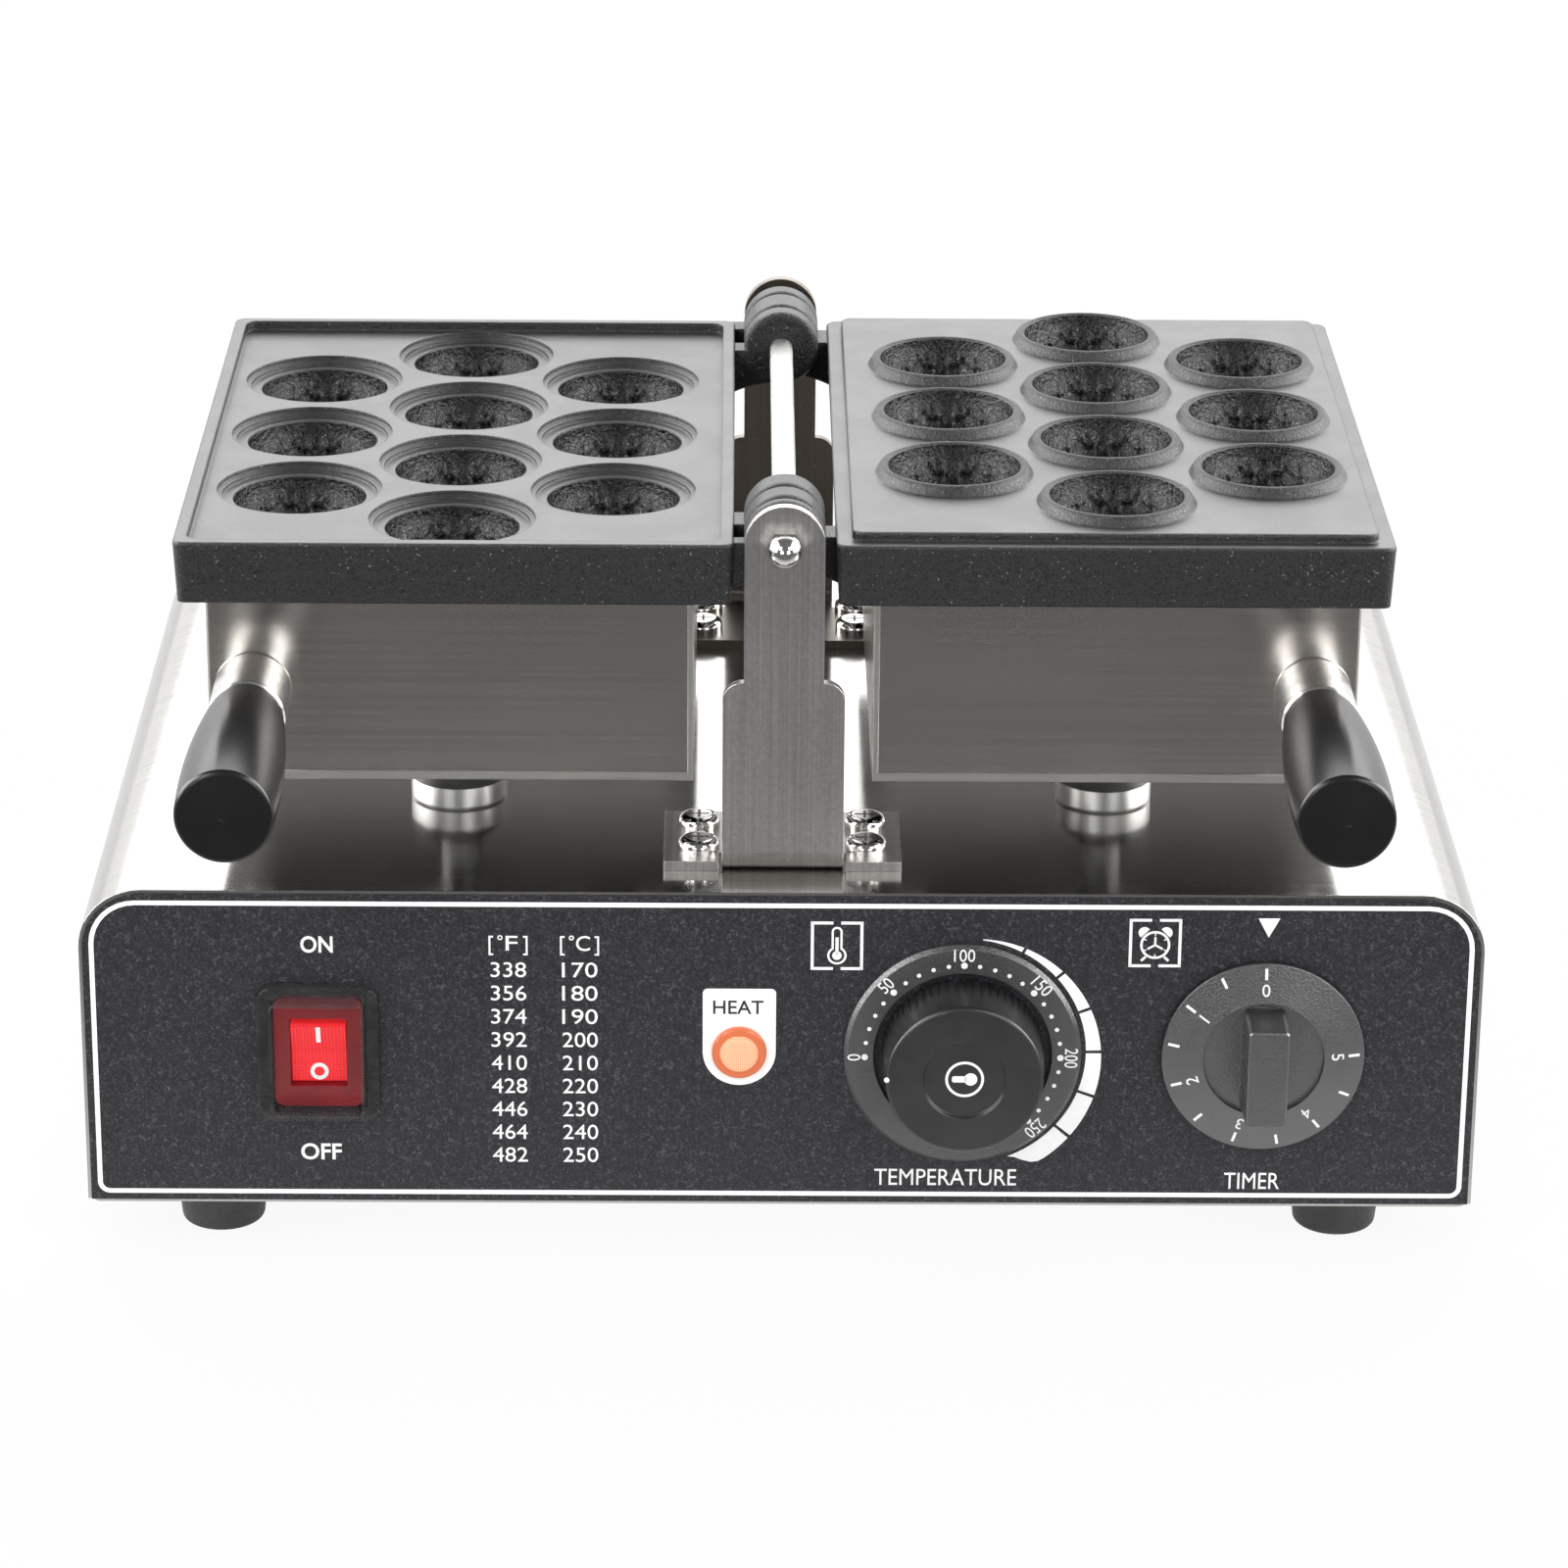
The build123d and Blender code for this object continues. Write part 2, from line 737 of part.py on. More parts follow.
def hinge_arms(side: int, knuckles: list) -> BuildPart:
    """Cast knuckles on the shaft, each with an arm that meets the plate's inner edge."""
    root_x = plate_inner_x + arm_root_overlap
    root_z = axis_z - arm_root_depth
    arm_top = axis_z - arm_top_drop
    with BuildPart() as arms:
        for start, length in knuckles:
            with BuildSketch(front_plane(start)):
                with BuildLine():
                    Polyline(
                        (side * root_x, root_z),
                        (side * root_x, arm_top),
                        (0, arm_top),
                        (0, axis_z - knuckle_radius),
                    )
                    ThreePointArc(
                        (0, axis_z - knuckle_radius),
                        (side * knuckle_radius, axis_z - arm_sag),
                        (side * root_x, root_z),
                    )
                make_face()
                with Locations((0, axis_z)):
                    Circle(knuckle_radius)
            extrude(amount=-length)
        rings = arms.edges().filter_by(GeomType.CIRCLE)
        fillet(rings.filter_by(lambda e: abs(e.radius - knuckle_radius) < edge_reach), knuckle_round)
        with BuildSketch(front_plane(plate_front_y)):
            with Locations((0, axis_z)):
                Circle(shaft_radius + shaft_clearance)
        extrude(amount=-plate_length, mode=Mode.SUBTRACT)
        add(plate_blank(side).part, mode=Mode.SUBTRACT)
        add(dowels(side, knuckles, dowel_radius + thread_clearance).part, mode=Mode.SUBTRACT)
    return arms


def cavity_bowl() -> BuildPart:
    """The room in one cavity below z = 0, turned in bands whose edges lie on one sphere."""
    turn = math.acos(cavity_sphere_rise / cavity_sphere_radius) / cavity_bands
    with BuildPart() as bowl:
        with BuildSketch(Plane.XZ):
            with BuildLine():
                Polyline(
                    *[
                        (
                            cavity_sphere_radius * math.sin(band * turn),
                            cavity_sphere_rise - cavity_sphere_radius * math.cos(band * turn),
                        )
                        for band in range(cavity_bands + 1)
                    ],
                    (cavity_mouth_radius, 1),
                    (0, 1),
                    close=True,
                )
            make_face()
        revolve(axis=Axis.Z)
    return bowl


def mould_plate(side: int, female: bool, knuckles: list) -> BuildPart:
    """A cast plate with ten round cavities, recessed on the left and ringed on the right."""
    with BuildPart() as plate:
        add(plate_blank(side).part)
        if female:
            mouth_z = seat_floor_z
            with BuildSketch(Plane.XY.offset(plate_top_z)):
                with Locations((side * plate_mid_x, plate_mid_y)):
                    RectangleRounded(
                        plate_width - 2 * rim_width, plate_length - 2 * rim_width, plate_corner
                    )
            extrude(amount=-rim_depth, mode=Mode.SUBTRACT)
            cup_under_z = mouth_z - cavity_depth - cup_floor
            cup_height = plate_under_z - cup_under_z
            cup_root = math.sqrt(
                cavity_sphere_radius**2 - (cavity_sphere_rise + mouth_z - plate_under_z) ** 2
            ) + cup_wall
            with Locations(*cavity_places(side, cup_under_z)):
                Cone(cup_foot_radius, cup_root, cup_height, align=(Align.CENTER, Align.CENTER, Align.MIN))
            with BuildSketch(Plane.XY.offset(field_floor_z)):
                with Locations(*cavity_places(side, 0)):
                    Circle(counterbore_radius)
            extrude(amount=-counterbore_depth, mode=Mode.SUBTRACT)
            with BuildSketch(Plane.XY.offset(field_floor_z - counterbore_depth)):
                with Locations(*cavity_places(side, 0)):
                    Circle(seat_radius)
            extrude(amount=-seat_depth, mode=Mode.SUBTRACT)
        else:
            mouth_z = ring_top_z
            with BuildSketch(Plane.XY.offset(plate_top_z)):
                with Locations((side * plate_mid_x, plate_mid_y)):
                    RectangleRounded(
                        plate_width - 2 * border_width, plate_length - 2 * border_width, plate_corner
                    )
            extrude(amount=field_rise)
            fillet(plate.edges().group_by(Axis.Z)[-1], plate_edge_round)
            with Locations(*cavity_places(side, plate_top_z + field_rise)):
                Cone(
                    ring_base_radius,
                    ring_top_radius,
                    ring_rise,
                    align=(Align.CENTER, Align.CENTER, Align.MIN),
                )
        with Locations(*cavity_places(side, mouth_z)):
            add(cavity_bowl().part, mode=Mode.SUBTRACT)
        if not female:
            ring_edges = plate.edges().filter_by(GeomType.CIRCLE)
            ring_edges = ring_edges.filter_by_position(
                Axis.Z, ring_top_z - edge_reach, ring_top_z + edge_reach
            )
            chamfer(ring_edges, ring_bevel)
        add(dowels(side, knuckles, dowel_radius + thread_clearance).part, mode=Mode.SUBTRACT)
        with BuildSketch(Plane.XY.offset(plate_under_z)):
            with Locations(*stud_places(side), clamp_place(side)):
                Circle(m5_radius + thread_clearance)
        extrude(amount=stud_thread_depth, mode=Mode.SUBTRACT)
    return plate


def heater_tray(side: int) -> BuildPart:
    """A folded sheet box, open to the plate above it."""
    with BuildPart() as tray:
        with BuildSketch(Plane.XY.offset(tray_bottom_z)):
            with Locations((side * tray_mid_x, tray_mid_y)):
                RectangleRounded(tray_width, tray_length, tray_bend)
        extrude(amount=plate_under_z - tray_bottom_z)
        fillet(tray.edges().group_by(Axis.Z)[0], tray_bend)
        offset(amount=-tray_sheet, openings=tray.faces().sort_by(Axis.Z)[-1])
        with BuildSketch(Plane.XY.offset(tray_bottom_z)):
            with Locations(*stud_places(side), (side * support_x, front_y + support_setback)):
                Circle(m5_radius + screw_clearance)
        extrude(amount=tray_sheet, mode=Mode.SUBTRACT)
        with BuildSketch(front_plane(tray_front_y)):
            with Locations((side * handle_x, handle_z)):
                Circle(handle_bolt_radius + screw_clearance)
        extrude(amount=-tray_sheet, mode=Mode.SUBTRACT)
        with BuildSketch(front_plane(tray_back_y)):
            with Locations((side * lead_x, tray_bottom_z + tray_lead_rise)):
                Circle(grommet_hole_radius)
        extrude(amount=tray_sheet, mode=Mode.SUBTRACT)
    return tray


def heating_element(side: int) -> BuildPart:
    """A tubular element: two runs between the cavity columns, joined near the front."""
    near_x = side * (cavity_column_x - cavity_column_pitch / 2)
    far_x = side * (cavity_column_x + cavity_column_pitch / 2)
    front_run_y = plate_front_y + cavity_front_margin + 0.5 * cavity_pitch
    rear_y = tray_back_y - tray_sheet - element_rear_gap
    with BuildPart() as element:
        with BuildLine():
            FilletPolyline(
                (near_x, rear_y, element_z),
                (near_x, front_run_y, element_z),
                (far_x, front_run_y, element_z),
                (far_x, rear_y, element_z),
                radius=element_bend,
            )
        with BuildSketch(front_plane(rear_y)):
            with Locations((near_x, element_z)):
                Circle(element_radius)
        sweep()
        with BuildSketch(front_plane(rear_y)):
            with Locations((near_x, element_z), (far_x, element_z)):
                Circle(terminal_radius)
        extrude(amount=-terminal_length)
    return element


def element_clamp(side: int) -> BuildPart:
    """A bar that holds both runs of the element up against the plate."""
    x, y = clamp_place(side)
    clamp_length = cavity_column_pitch + 2 * clamp_overhang
    with BuildPart() as clamp:
        with BuildSketch(Plane.XY.offset(plate_under_z - 2 * element_radius)):
            with Locations((x, y)):
                SlotOverall(clamp_length, clamp_width)
                Circle(m5_radius + screw_clearance, mode=Mode.SUBTRACT)
        extrude(amount=-clamp_sheet)
        with BuildSketch(Plane.XY.offset(plate_under_z)):
            with Locations((x, y)):
                Circle(clamp_hold)
                Circle(m5_radius + screw_clearance, mode=Mode.SUBTRACT)
        extrude(amount=-2 * element_radius)
    return clamp


def insulation_pad(side: int) -> BuildPart:
    """A fibre slab on the floor of the box, cut away round the studs and the foot's screw."""
    with BuildPart() as pad:
        with BuildSketch(Plane.XY.offset(tray_floor_z)):
            with Locations((side * tray_mid_x, tray_mid_y)):
                Rectangle(
                    tray_width - 2 * (tray_sheet + pad_gap), tray_length - 2 * (tray_sheet + pad_gap)
                )
            with Locations(*stud_places(side)):
                Rectangle(
                    2 * (stud_radius + pad_gap) + stud_inset,
                    2 * (stud_radius + pad_gap) + stud_inset,
                    mode=Mode.SUBTRACT,
                )
            with Locations((side * support_x, front_y + support_setback)):
                Circle(m5_head_radius + screw_clearance, mode=Mode.SUBTRACT)
            with Locations((side * handle_x, tray_front_y)):
                Rectangle(
                    4 * handle_bolt_head_radius, 4 * handle_bolt_head_radius, mode=Mode.SUBTRACT
                )
            with Locations((side * lead_x, tray_back_y)):
                Rectangle(4 * grommet_lip + 2 * grommet_radius, 4 * grommet_radius, mode=Mode.SUBTRACT)
        extrude(amount=pad_height)
    return pad


def tray_studs(side: int) -> BuildPart:
    """Hex studs that carry the box under the plate, threaded at both ends."""
    with BuildPart() as studs:
        with BuildSketch(Plane.XY.offset(tray_floor_z)):
            with Locations(*stud_places(side)):
                RegularPolygon(stud_radius, 6, major_radius=False)
        extrude(amount=plate_under_z - tray_floor_z)
        with BuildSketch(Plane.XY.offset(plate_under_z)):
            with Locations(*stud_places(side)):
                Circle(m5_radius)
        extrude(amount=stud_thread_depth - thread_end_gap)
        with BuildSketch(Plane.XY.offset(tray_floor_z)):
            with Locations(*stud_places(side)):
                Circle(m5_radius + thread_clearance)
        extrude(amount=tray_screw_length, mode=Mode.SUBTRACT)
    return studs


def half_screws(side: int, knuckles: list) -> BuildPart:
    """One half's fixings: four screws under the box, one in its foot, one in the clamp, and dowels."""
    x, y = clamp_place(side)
    clamp_under_z = plate_under_z - 2 * element_radius - clamp_sheet
    clamp_screw_length = plate_under_z - clamp_under_z + stud_thread_depth - thread_end_gap
    support_screw_length = tray_sheet + support_thread_depth - thread_end_gap
    with BuildPart() as screws:
        with Locations(*[Location((px, py, tray_bottom_z), (180, 0, 0)) for px, py in stud_places(side)]):
            add(pan_screw(m5_radius, m5_head_radius, m5_head_height, tray_screw_length).part)
        with Locations(Location((x, y, clamp_under_z), (180, 0, 0))):
            add(pan_screw(m5_radius, m5_head_radius, m5_head_height, clamp_screw_length).part)
        with Locations((side * support_x, front_y + support_setback, tray_floor_z)):
            add(pan_screw(m5_radius, m5_head_radius, m5_head_height, support_screw_length).part)
        add(dowels(side, knuckles, dowel_radius).part)
    return screws


def support_foot(side: int) -> BuildPart:
    """A turned foot under the box that carries the open half on the housing."""
    x, y = side * support_x, front_y + support_setback
    with BuildPart() as foot:
        with BuildSketch(Plane(origin=(x, y, base_top), x_dir=(1, 0, 0), z_dir=(0, -1, 0))):
            with BuildLine():
                Polyline(
                    (0, 0),
                    (support_disc_radius - support_disc_chamfer, 0),
                    (support_disc_radius, support_disc_chamfer),
                    (support_disc_radius, support_disc_height),
                    (support_neck_radius, support_disc_height + support_cone_height),
                    (support_neck_radius, support_drop),
                    (0, support_drop),
                    close=True,
                )
            make_face()
        revolve(axis=Axis((x, y, 0), (0, 0, 1)))
        with Locations((x, y, tray_bottom_z)):
            Cylinder(
                m5_radius + thread_clearance,
                support_thread_depth,
                align=(Align.CENTER, Align.CENTER, Align.MAX),
                mode=Mode.SUBTRACT,
            )
    return foot


def handle_ferrule(side: int) -> BuildPart:
    """The steel sleeve between the box and the grip."""
    with BuildPart() as ferrule:
        with BuildSketch(front_plane(tray_front_y)):
            with Locations((side * handle_x, handle_z)):
                Circle(ferrule_radius)
        extrude(amount=ferrule_length)
        chamfer(ferrule.edges().filter_by(GeomType.CIRCLE), ferrule_edge)
        with BuildSketch(front_plane(tray_front_y)):
            with Locations((side * handle_x, handle_z)):
                Circle(handle_bolt_radius + screw_clearance)
        extrude(amount=ferrule_length, mode=Mode.SUBTRACT)
    return ferrule


def handle_grip(side: int) -> BuildPart:
    """The black grip: a slender neck, a belly towards the end and a domed tip."""
    x = side * handle_x
    grip_length = ferrule_front_y - handle_tip_y
    belly_y = ferrule_front_y - grip_belly_share * grip_length
    with BuildPart() as grip:
        with BuildSketch(Plane(origin=(x, 0, handle_z), x_dir=(1, 0, 0), z_dir=(0, 0, 1))):
            with BuildLine():
                Polyline(
                    (grip_end_radius, handle_tip_y + grip_end_round / 2),
                    (0, handle_tip_y),
                    (0, ferrule_front_y),
                    (grip_neck_radius, ferrule_front_y),
                )
                ThreePointArc(
                    (grip_neck_radius, ferrule_front_y),
                    (grip_belly_radius, belly_y),
                    (grip_end_radius, handle_tip_y + grip_end_round / 2),
                )
            make_face()
        revolve(axis=Axis((x, 0, handle_z), (0, 1, 0)))
        tip_edges = grip.edges().filter_by(GeomType.CIRCLE).filter_by(lambda e: e.radius > grip_neck_radius)
        fillet(tip_edges.sort_by(Axis.Y)[0], grip_end_round / 2)
        with BuildSketch(front_plane(ferrule_front_y)):
            with Locations((x, handle_z)):
                Circle(handle_bolt_radius + thread_clearance)
        extrude(amount=handle_bolt_grip + thread_end_gap, mode=Mode.SUBTRACT)
    return grip


def handle_bolt(side: int) -> BuildPart:
    """The bolt that holds the handle, put through from inside the box."""
    with BuildPart() as bolt:
        with BuildSketch(front_plane(tray_front_y + tray_sheet)):
            with Locations((side * handle_x, handle_z)):
                RegularPolygon(handle_bolt_head_radius, 6, major_radius=False)
        extrude(amount=-handle_bolt_head_height)
        with BuildSketch(front_plane(tray_front_y + tray_sheet)):
            with Locations((side * handle_x, handle_z)):
                Circle(handle_bolt_radius)
        extrude(amount=tray_sheet + ferrule_length + handle_bolt_grip)
    return bolt


def grommet(sheet: float) -> BuildPart:
    """A rubber ring that clips into a sheet whose upper face is z = 0."""
    with BuildPart() as ring:
        Cylinder(grommet_hole_radius, sheet, align=(Align.CENTER, Align.CENTER, Align.MAX))
        Cylinder(grommet_radius, grommet_lip, align=(Align.CENTER, Align.CENTER, Align.MIN))
        with Locations((0, 0, -sheet)):
            Cylinder(grommet_radius, grommet_lip, align=(Align.CENTER, Align.CENTER, Align.MAX))
        Cylinder(grommet_bore_radius, 4 * grommet_lip + 2 * sheet, mode=Mode.SUBTRACT)
    return ring


def tray_grommet(side: int) -> BuildPart:
    """The grommet of the element's leads, in the back wall of the box."""
    with BuildPart() as ring:
        with Locations(Location((side * lead_x, tray_back_y, tray_bottom_z + tray_lead_rise), (-90, 0, 0))):
            add(grommet(tray_sheet).part)
    return ring


for side, half, female, knuckles in ((-1, "left", True, left_knuckles), (1, "right", False, right_knuckles)):
    save(mould_plate(side, female, knuckles), f"{half}_mould_plate")
    save(hinge_arms(side, knuckles), f"{half}_hinge_arms")
    save(heater_tray(side), f"{half}_heater_box")
    save(heating_element(side), f"{half}_heating_element")
    save(element_clamp(side), f"{half}_element_clamp")
    save(insulation_pad(side), f"{half}_insulation_pad")
    save(tray_studs(side), f"{half}_box_studs")
    save(half_screws(side, knuckles), f"{half}_screws")
    save(support_foot(side), f"{half}_support_foot")
    save(handle_ferrule(side), f"{half}_handle_ferrule")
    save(handle_grip(side), f"{half}_handle_grip")
    save(handle_bolt(side), f"{half}_handle_bolt")
    save(tray_grommet(side), f"{half}_box_grommet")

# Thermostat bulb, under the left plate beside its inner column of cavities
with BuildPart() as thermostat_bulb:
    bulb_x = -(tray_inner_x + tray_sheet + bulb_edge_gap + bulb_radius)
    with BuildSketch(front_plane(tray_front_y + bulb_setback)):
        with Locations((bulb_x, plate_under_z - bulb_radius)):
            Circle(bulb_radius)
    extrude(amount=-bulb_length)
    fillet(thermostat_bulb.edges().filter_by(GeomType.CIRCLE), bulb_radius / 2)

# Rocker switch: body with its tabs, rocker, and the clear hood over both
with BuildPart() as switch_body:
    with BuildSketch(front_plane(overlay_y)):
        with Locations((switch_x, control_z)):
            RectangleRounded(switch_flange_width, switch_flange_height, switch_round)
    extrude(amount=switch_flange_sheet)
    with BuildSketch(front_plane(overlay_y)):
        with Locations((switch_x, control_z)):
            Rectangle(switch_cutout_width - cutout_clearance, switch_cutout_height - cutout_clearance)
    extrude(amount=-switch_body_depth)
    with BuildSketch(front_plane(overlay_y - switch_flange_sheet)):
        with Locations((switch_x, control_z)):
            Rectangle(
                rocker_width + 2 * rocker_clearance, 2 * (rocker_half_height + rocker_clearance)
            )
    extrude(amount=-(switch_flange_sheet + rocker_well_depth), mode=Mode.SUBTRACT)
    with BuildSketch(front_plane(overlay_y + switch_body_depth)):
        with Locations((switch_x, control_z)):
            with GridLocations(tab_spacing_x, tab_spacing_z, 2, 2):
                Rectangle(tab_sheet, tab_width)
    extrude(amount=-tab_length)

with BuildPart() as switch_rocker:
    face_half = math.sqrt(rocker_half_height**2 - rocker_face_reach**2)
    tilt = math.radians(rocker_tilt)
    with BuildSketch(
        Plane(
            origin=(switch_x, pivot_y, control_z),
            x_dir=(0, -math.sin(tilt), math.cos(tilt)),
            z_dir=(1, 0, 0),
        )
    ):
        with BuildLine():
            Polyline(
                (rocker_half_height, 0),
                (0, -rocker_root),
                (-rocker_half_height, 0),
            )
            RadiusArc(
                (-rocker_half_height, 0), (-face_half, rocker_face_reach), rocker_half_height
            )
            Polyline(
                (-face_half, rocker_face_reach),
                (0, rocker_face_reach - rocker_notch),
                (face_half, rocker_face_reach),
            )
            RadiusArc((face_half, rocker_face_reach), (rocker_half_height, 0), rocker_half_height)
        make_face()
    extrude(amount=rocker_width / 2, both=True)

with BuildPart() as switch_hood:
    with BuildSketch(front_plane(overlay_y)):
        with Locations((switch_x, control_z)):
            RectangleRounded(hood_width, hood_height, hood_round)
    extrude(amount=hood_frame_reach)
    fillet(switch_hood.edges().group_by(Axis.Y)[0], hood_wall)
    window_width = switch_flange_width + 2 * hood_window_gap
    window_height = switch_flange_height + 2 * hood_window_gap
    with BuildSketch(front_plane(overlay_y)):
        with Locations((switch_x, control_z)):
            RectangleRounded(window_width + 2 * hood_wall, window_height + 2 * hood_wall, switch_round)
    extrude(amount=hood_dome_reach, taper=2)
    fillet(switch_hood.edges().group_by(Axis.Y)[0], hood_wall)
    with BuildSketch(front_plane(overlay_y)):
        with Locations((switch_x, control_z)):
            RectangleRounded(window_width, window_height, switch_round)
    extrude(amount=hood_dome_reach - hood_wall, taper=2, mode=Mode.SUBTRACT)

# Heat lamp: bezel, lens and the body behind the panel
with BuildPart() as lamp_bezel:
    with BuildSketch(front_plane(overlay_y)):
        with Locations((lamp_x, control_z)):
            Circle(lamp_bezel_radius)
            Circle(lamp_lens_radius + thread_clearance, mode=Mode.SUBTRACT)
    extrude(amount=lamp_bezel_reach)
    fillet(lamp_bezel.edges().group_by(Axis.Y)[0].sort_by(SortBy.RADIUS)[-1], lamp_bezel_reach / 2)

with BuildPart() as lamp_lens:
    with BuildSketch(front_plane(overlay_y)):
        with Locations((lamp_x, control_z)):
            Circle(lamp_lens_radius)
    extrude(amount=lamp_lens_reach)
    fillet(lamp_lens.edges().group_by(Axis.Y)[0], lamp_bezel_reach)

with BuildPart() as lamp_body:
    with BuildSketch(front_plane(overlay_y)):
        with Locations((lamp_x, control_z)):
            Circle(lamp_body_radius)
    extrude(amount=-lamp_body_depth)

# Thermostat: fixed scale ring, body behind the panel, knob and shaft
with BuildPart() as thermostat_scale:
    with BuildSketch(front_plane(overlay_y)):
        with Locations((thermostat_x, control_z)):
            Circle(scale_radius)
            Circle(scale_opening_radius, mode=Mode.SUBTRACT)
    extrude(amount=scale_reach)
    chamfer(thermostat_scale.edges().group_by(Axis.Y)[0].sort_by(SortBy.RADIUS)[-1], scale_bevel)

with BuildPart() as thermostat_knob:
    knob_back_y = overlay_y - thermostat_knob_back_gap
    knob_length = thermostat_knob_reach - thermostat_knob_back_gap
    knob_taper = math.degrees(
        math.atan((thermostat_knob_radius - thermostat_knob_face_radius) / knob_length)
    )
    with BuildSketch(front_plane(knob_back_y)):
        with Locations((thermostat_x, control_z)):
            Circle(thermostat_knob_radius)
    extrude(amount=knob_length, taper=knob_taper)
    fillet(thermostat_knob.edges().group_by(Axis.Y)[0], knob_edge_round)
    with BuildSketch(front_plane(knob_back_y)):
        with Locations((thermostat_x, control_z)):
            with PolarLocations(thermostat_knob_radius, knob_flutes):
                Circle(knob_flute_radius)
    extrude(amount=knob_length - 2 * knob_edge_round, mode=Mode.SUBTRACT)
    with BuildSketch(front_plane(overlay_y - thermostat_knob_reach)):
        with Locations((thermostat_x, control_z)):
            Circle(knob_dish_radius)
    extrude(amount=-knob_dish_depth, taper=30, mode=Mode.SUBTRACT)
    with BuildSketch(front_plane(knob_back_y)):
        with Locations((thermostat_x, control_z)):
            Circle(control_shaft_radius + thread_clearance)
    extrude(amount=control_shaft_grip, mode=Mode.SUBTRACT)


def control_shaft(x: float, back_gap: float) -> BuildPart:
    """The shaft of a knob, from inside its device to inside the knob."""
    with BuildPart() as shaft:
        with BuildSketch(front_plane(panel_back_y + control_shaft_hold)):
            with Locations((x, control_z)):
                Circle(control_shaft_radius)
        extrude(amount=control_shaft_hold + panel_sheet + overlay_sheet + back_gap + control_shaft_grip)
    return shaft


def control_device(x: float, width: float, height: float, depth: float) -> BuildPart:
    """The case of a thermostat or timer, screwed to the back of the front panel."""
    with BuildPart() as device:
        with BuildSketch(front_plane(panel_back_y)):
            with Locations((x, control_z)):
                RectangleRounded(width, height, 2 * housing_sheet)
        extrude(amount=-depth)
        with BuildSketch(front_plane(panel_back_y)):
            with Locations((x, control_z)):
                Circle(control_shaft_radius + shaft_clearance)
        extrude(amount=-(control_shaft_hold + thread_end_gap), mode=Mode.SUBTRACT)
        with BuildSketch(front_plane(panel_back_y)):
            with Locations((x, control_z)):
                with GridLocations(device_screw_spacing, 1, 2, 1):
                    Circle(m4_radius + thread_clearance)
        extrude(amount=-device_screw_length, mode=Mode.SUBTRACT)
    return device


# Screws of the two devices and of the terminal block
with BuildPart() as device_screws:
    device_screw = pan_screw(m4_radius, m4_head_radius, m4_head_height / 2, device_screw_length).part
    with Locations(
        *[
            Location((x + s * device_screw_spacing / 2, front_y, control_z), (90, 0, 0))
            for x in (thermostat_x, timer_x)
            for s in (-1, 1)
        ]
    ):
        add(device_screw)
    block_screw = pan_screw(m4_radius, m4_head_radius, m4_head_height, floor_screw_length).part
    with Locations(*[Location((x, y, foot_height), (180, 0, 0)) for x, y in terminal_screw_places]):
        add(block_screw)

# Timer knob: a coned dial skirt with a shallow recess and a bar to grip
with BuildPart() as timer_knob:
    timer_back_y = overlay_y - timer_back_gap
    with BuildSketch(Plane(origin=(timer_x, 0, control_z), x_dir=(1, 0, 0), z_dir=(0, 0, 1))):
        with BuildLine():
            Polyline(
                (0, timer_back_y),
                (timer_skirt_radius, timer_back_y),
                (timer_skirt_radius, timer_back_y - timer_skirt_edge),
                (timer_recess_radius, timer_back_y - timer_skirt_reach),
                (timer_recess_radius, timer_back_y - timer_skirt_reach + timer_recess_depth),
                (0, timer_back_y - timer_skirt_reach + timer_recess_depth),
                close=True,
            )
        make_face()
    revolve(axis=Axis((timer_x, 0, control_z), (0, 1, 0)))
    with BuildSketch(front_plane(timer_back_y - timer_skirt_reach + timer_recess_depth)):
        with Locations((timer_x, control_z)):
            RectangleRounded(timer_bar_width, timer_bar_length, timer_bar_taper)
    extrude(
        amount=timer_bar_reach - timer_back_gap - timer_skirt_reach + timer_recess_depth,
        taper=timer_bar_taper,
    )
    fillet(timer_knob.edges().group_by(Axis.Y)[0], timer_bar_round)
    with BuildSketch(front_plane(timer_back_y - timer_skirt_reach)):
        for notch in range(timer_notch_count):
            notch_z = control_z + (notch - (timer_notch_count - 1) / 2) * timer_notch_pitch
            for s in (-1, 1):
                edge_x = timer_x + s * timer_bar_width / 2
                with BuildLine():
                    Polyline(
                        (edge_x + s * timer_notch_depth, notch_z),
                        (edge_x - s * timer_notch_depth, notch_z),
                        (edge_x + s * timer_notch_depth, notch_z + timer_notch_pitch / 2),
                        close=True,
                    )
                make_face()
    extrude(amount=timer_bar_reach - timer_bar_round, taper=0, mode=Mode.SUBTRACT)
    with BuildSketch(front_plane(timer_back_y)):
        with Locations((timer_x, control_z)):
            Circle(control_shaft_radius + thread_clearance)
    extrude(amount=control_shaft_grip, mode=Mode.SUBTRACT)

# Cable gland in the back panel, with its nut inside, and the grommets on the top
with BuildPart() as cable_gland:
    gland_z = base_bottom + gland_rise
    with BuildSketch(front_plane(back_y)):
        with Locations((gland_x, gland_z)):
            RegularPolygon(gland_hex_radius, 6, major_radius=False)
    extrude(amount=-gland_hex_length)
    with BuildSketch(front_plane(back_y + gland_hex_length)):
        with Locations((gland_x, gland_z)):
            Circle(gland_cap_radius)
    extrude(amount=-(gland_reach - gland_hex_length))
    fillet(cable_gland.edges().group_by(Axis.Y)[-1], gland_cap_round)
    with BuildSketch(front_plane(back_y)):
        with Locations((gland_x, gland_z)):
            Circle(gland_thread_radius)
    extrude(amount=gland_thread_length)
    with BuildSketch(front_plane(back_y - gland_thread_length)):
        with Locations((gland_x, gland_z)):
            Circle(gland_bore_radius)
    extrude(amount=-(gland_thread_length + gland_reach), mode=Mode.SUBTRACT)

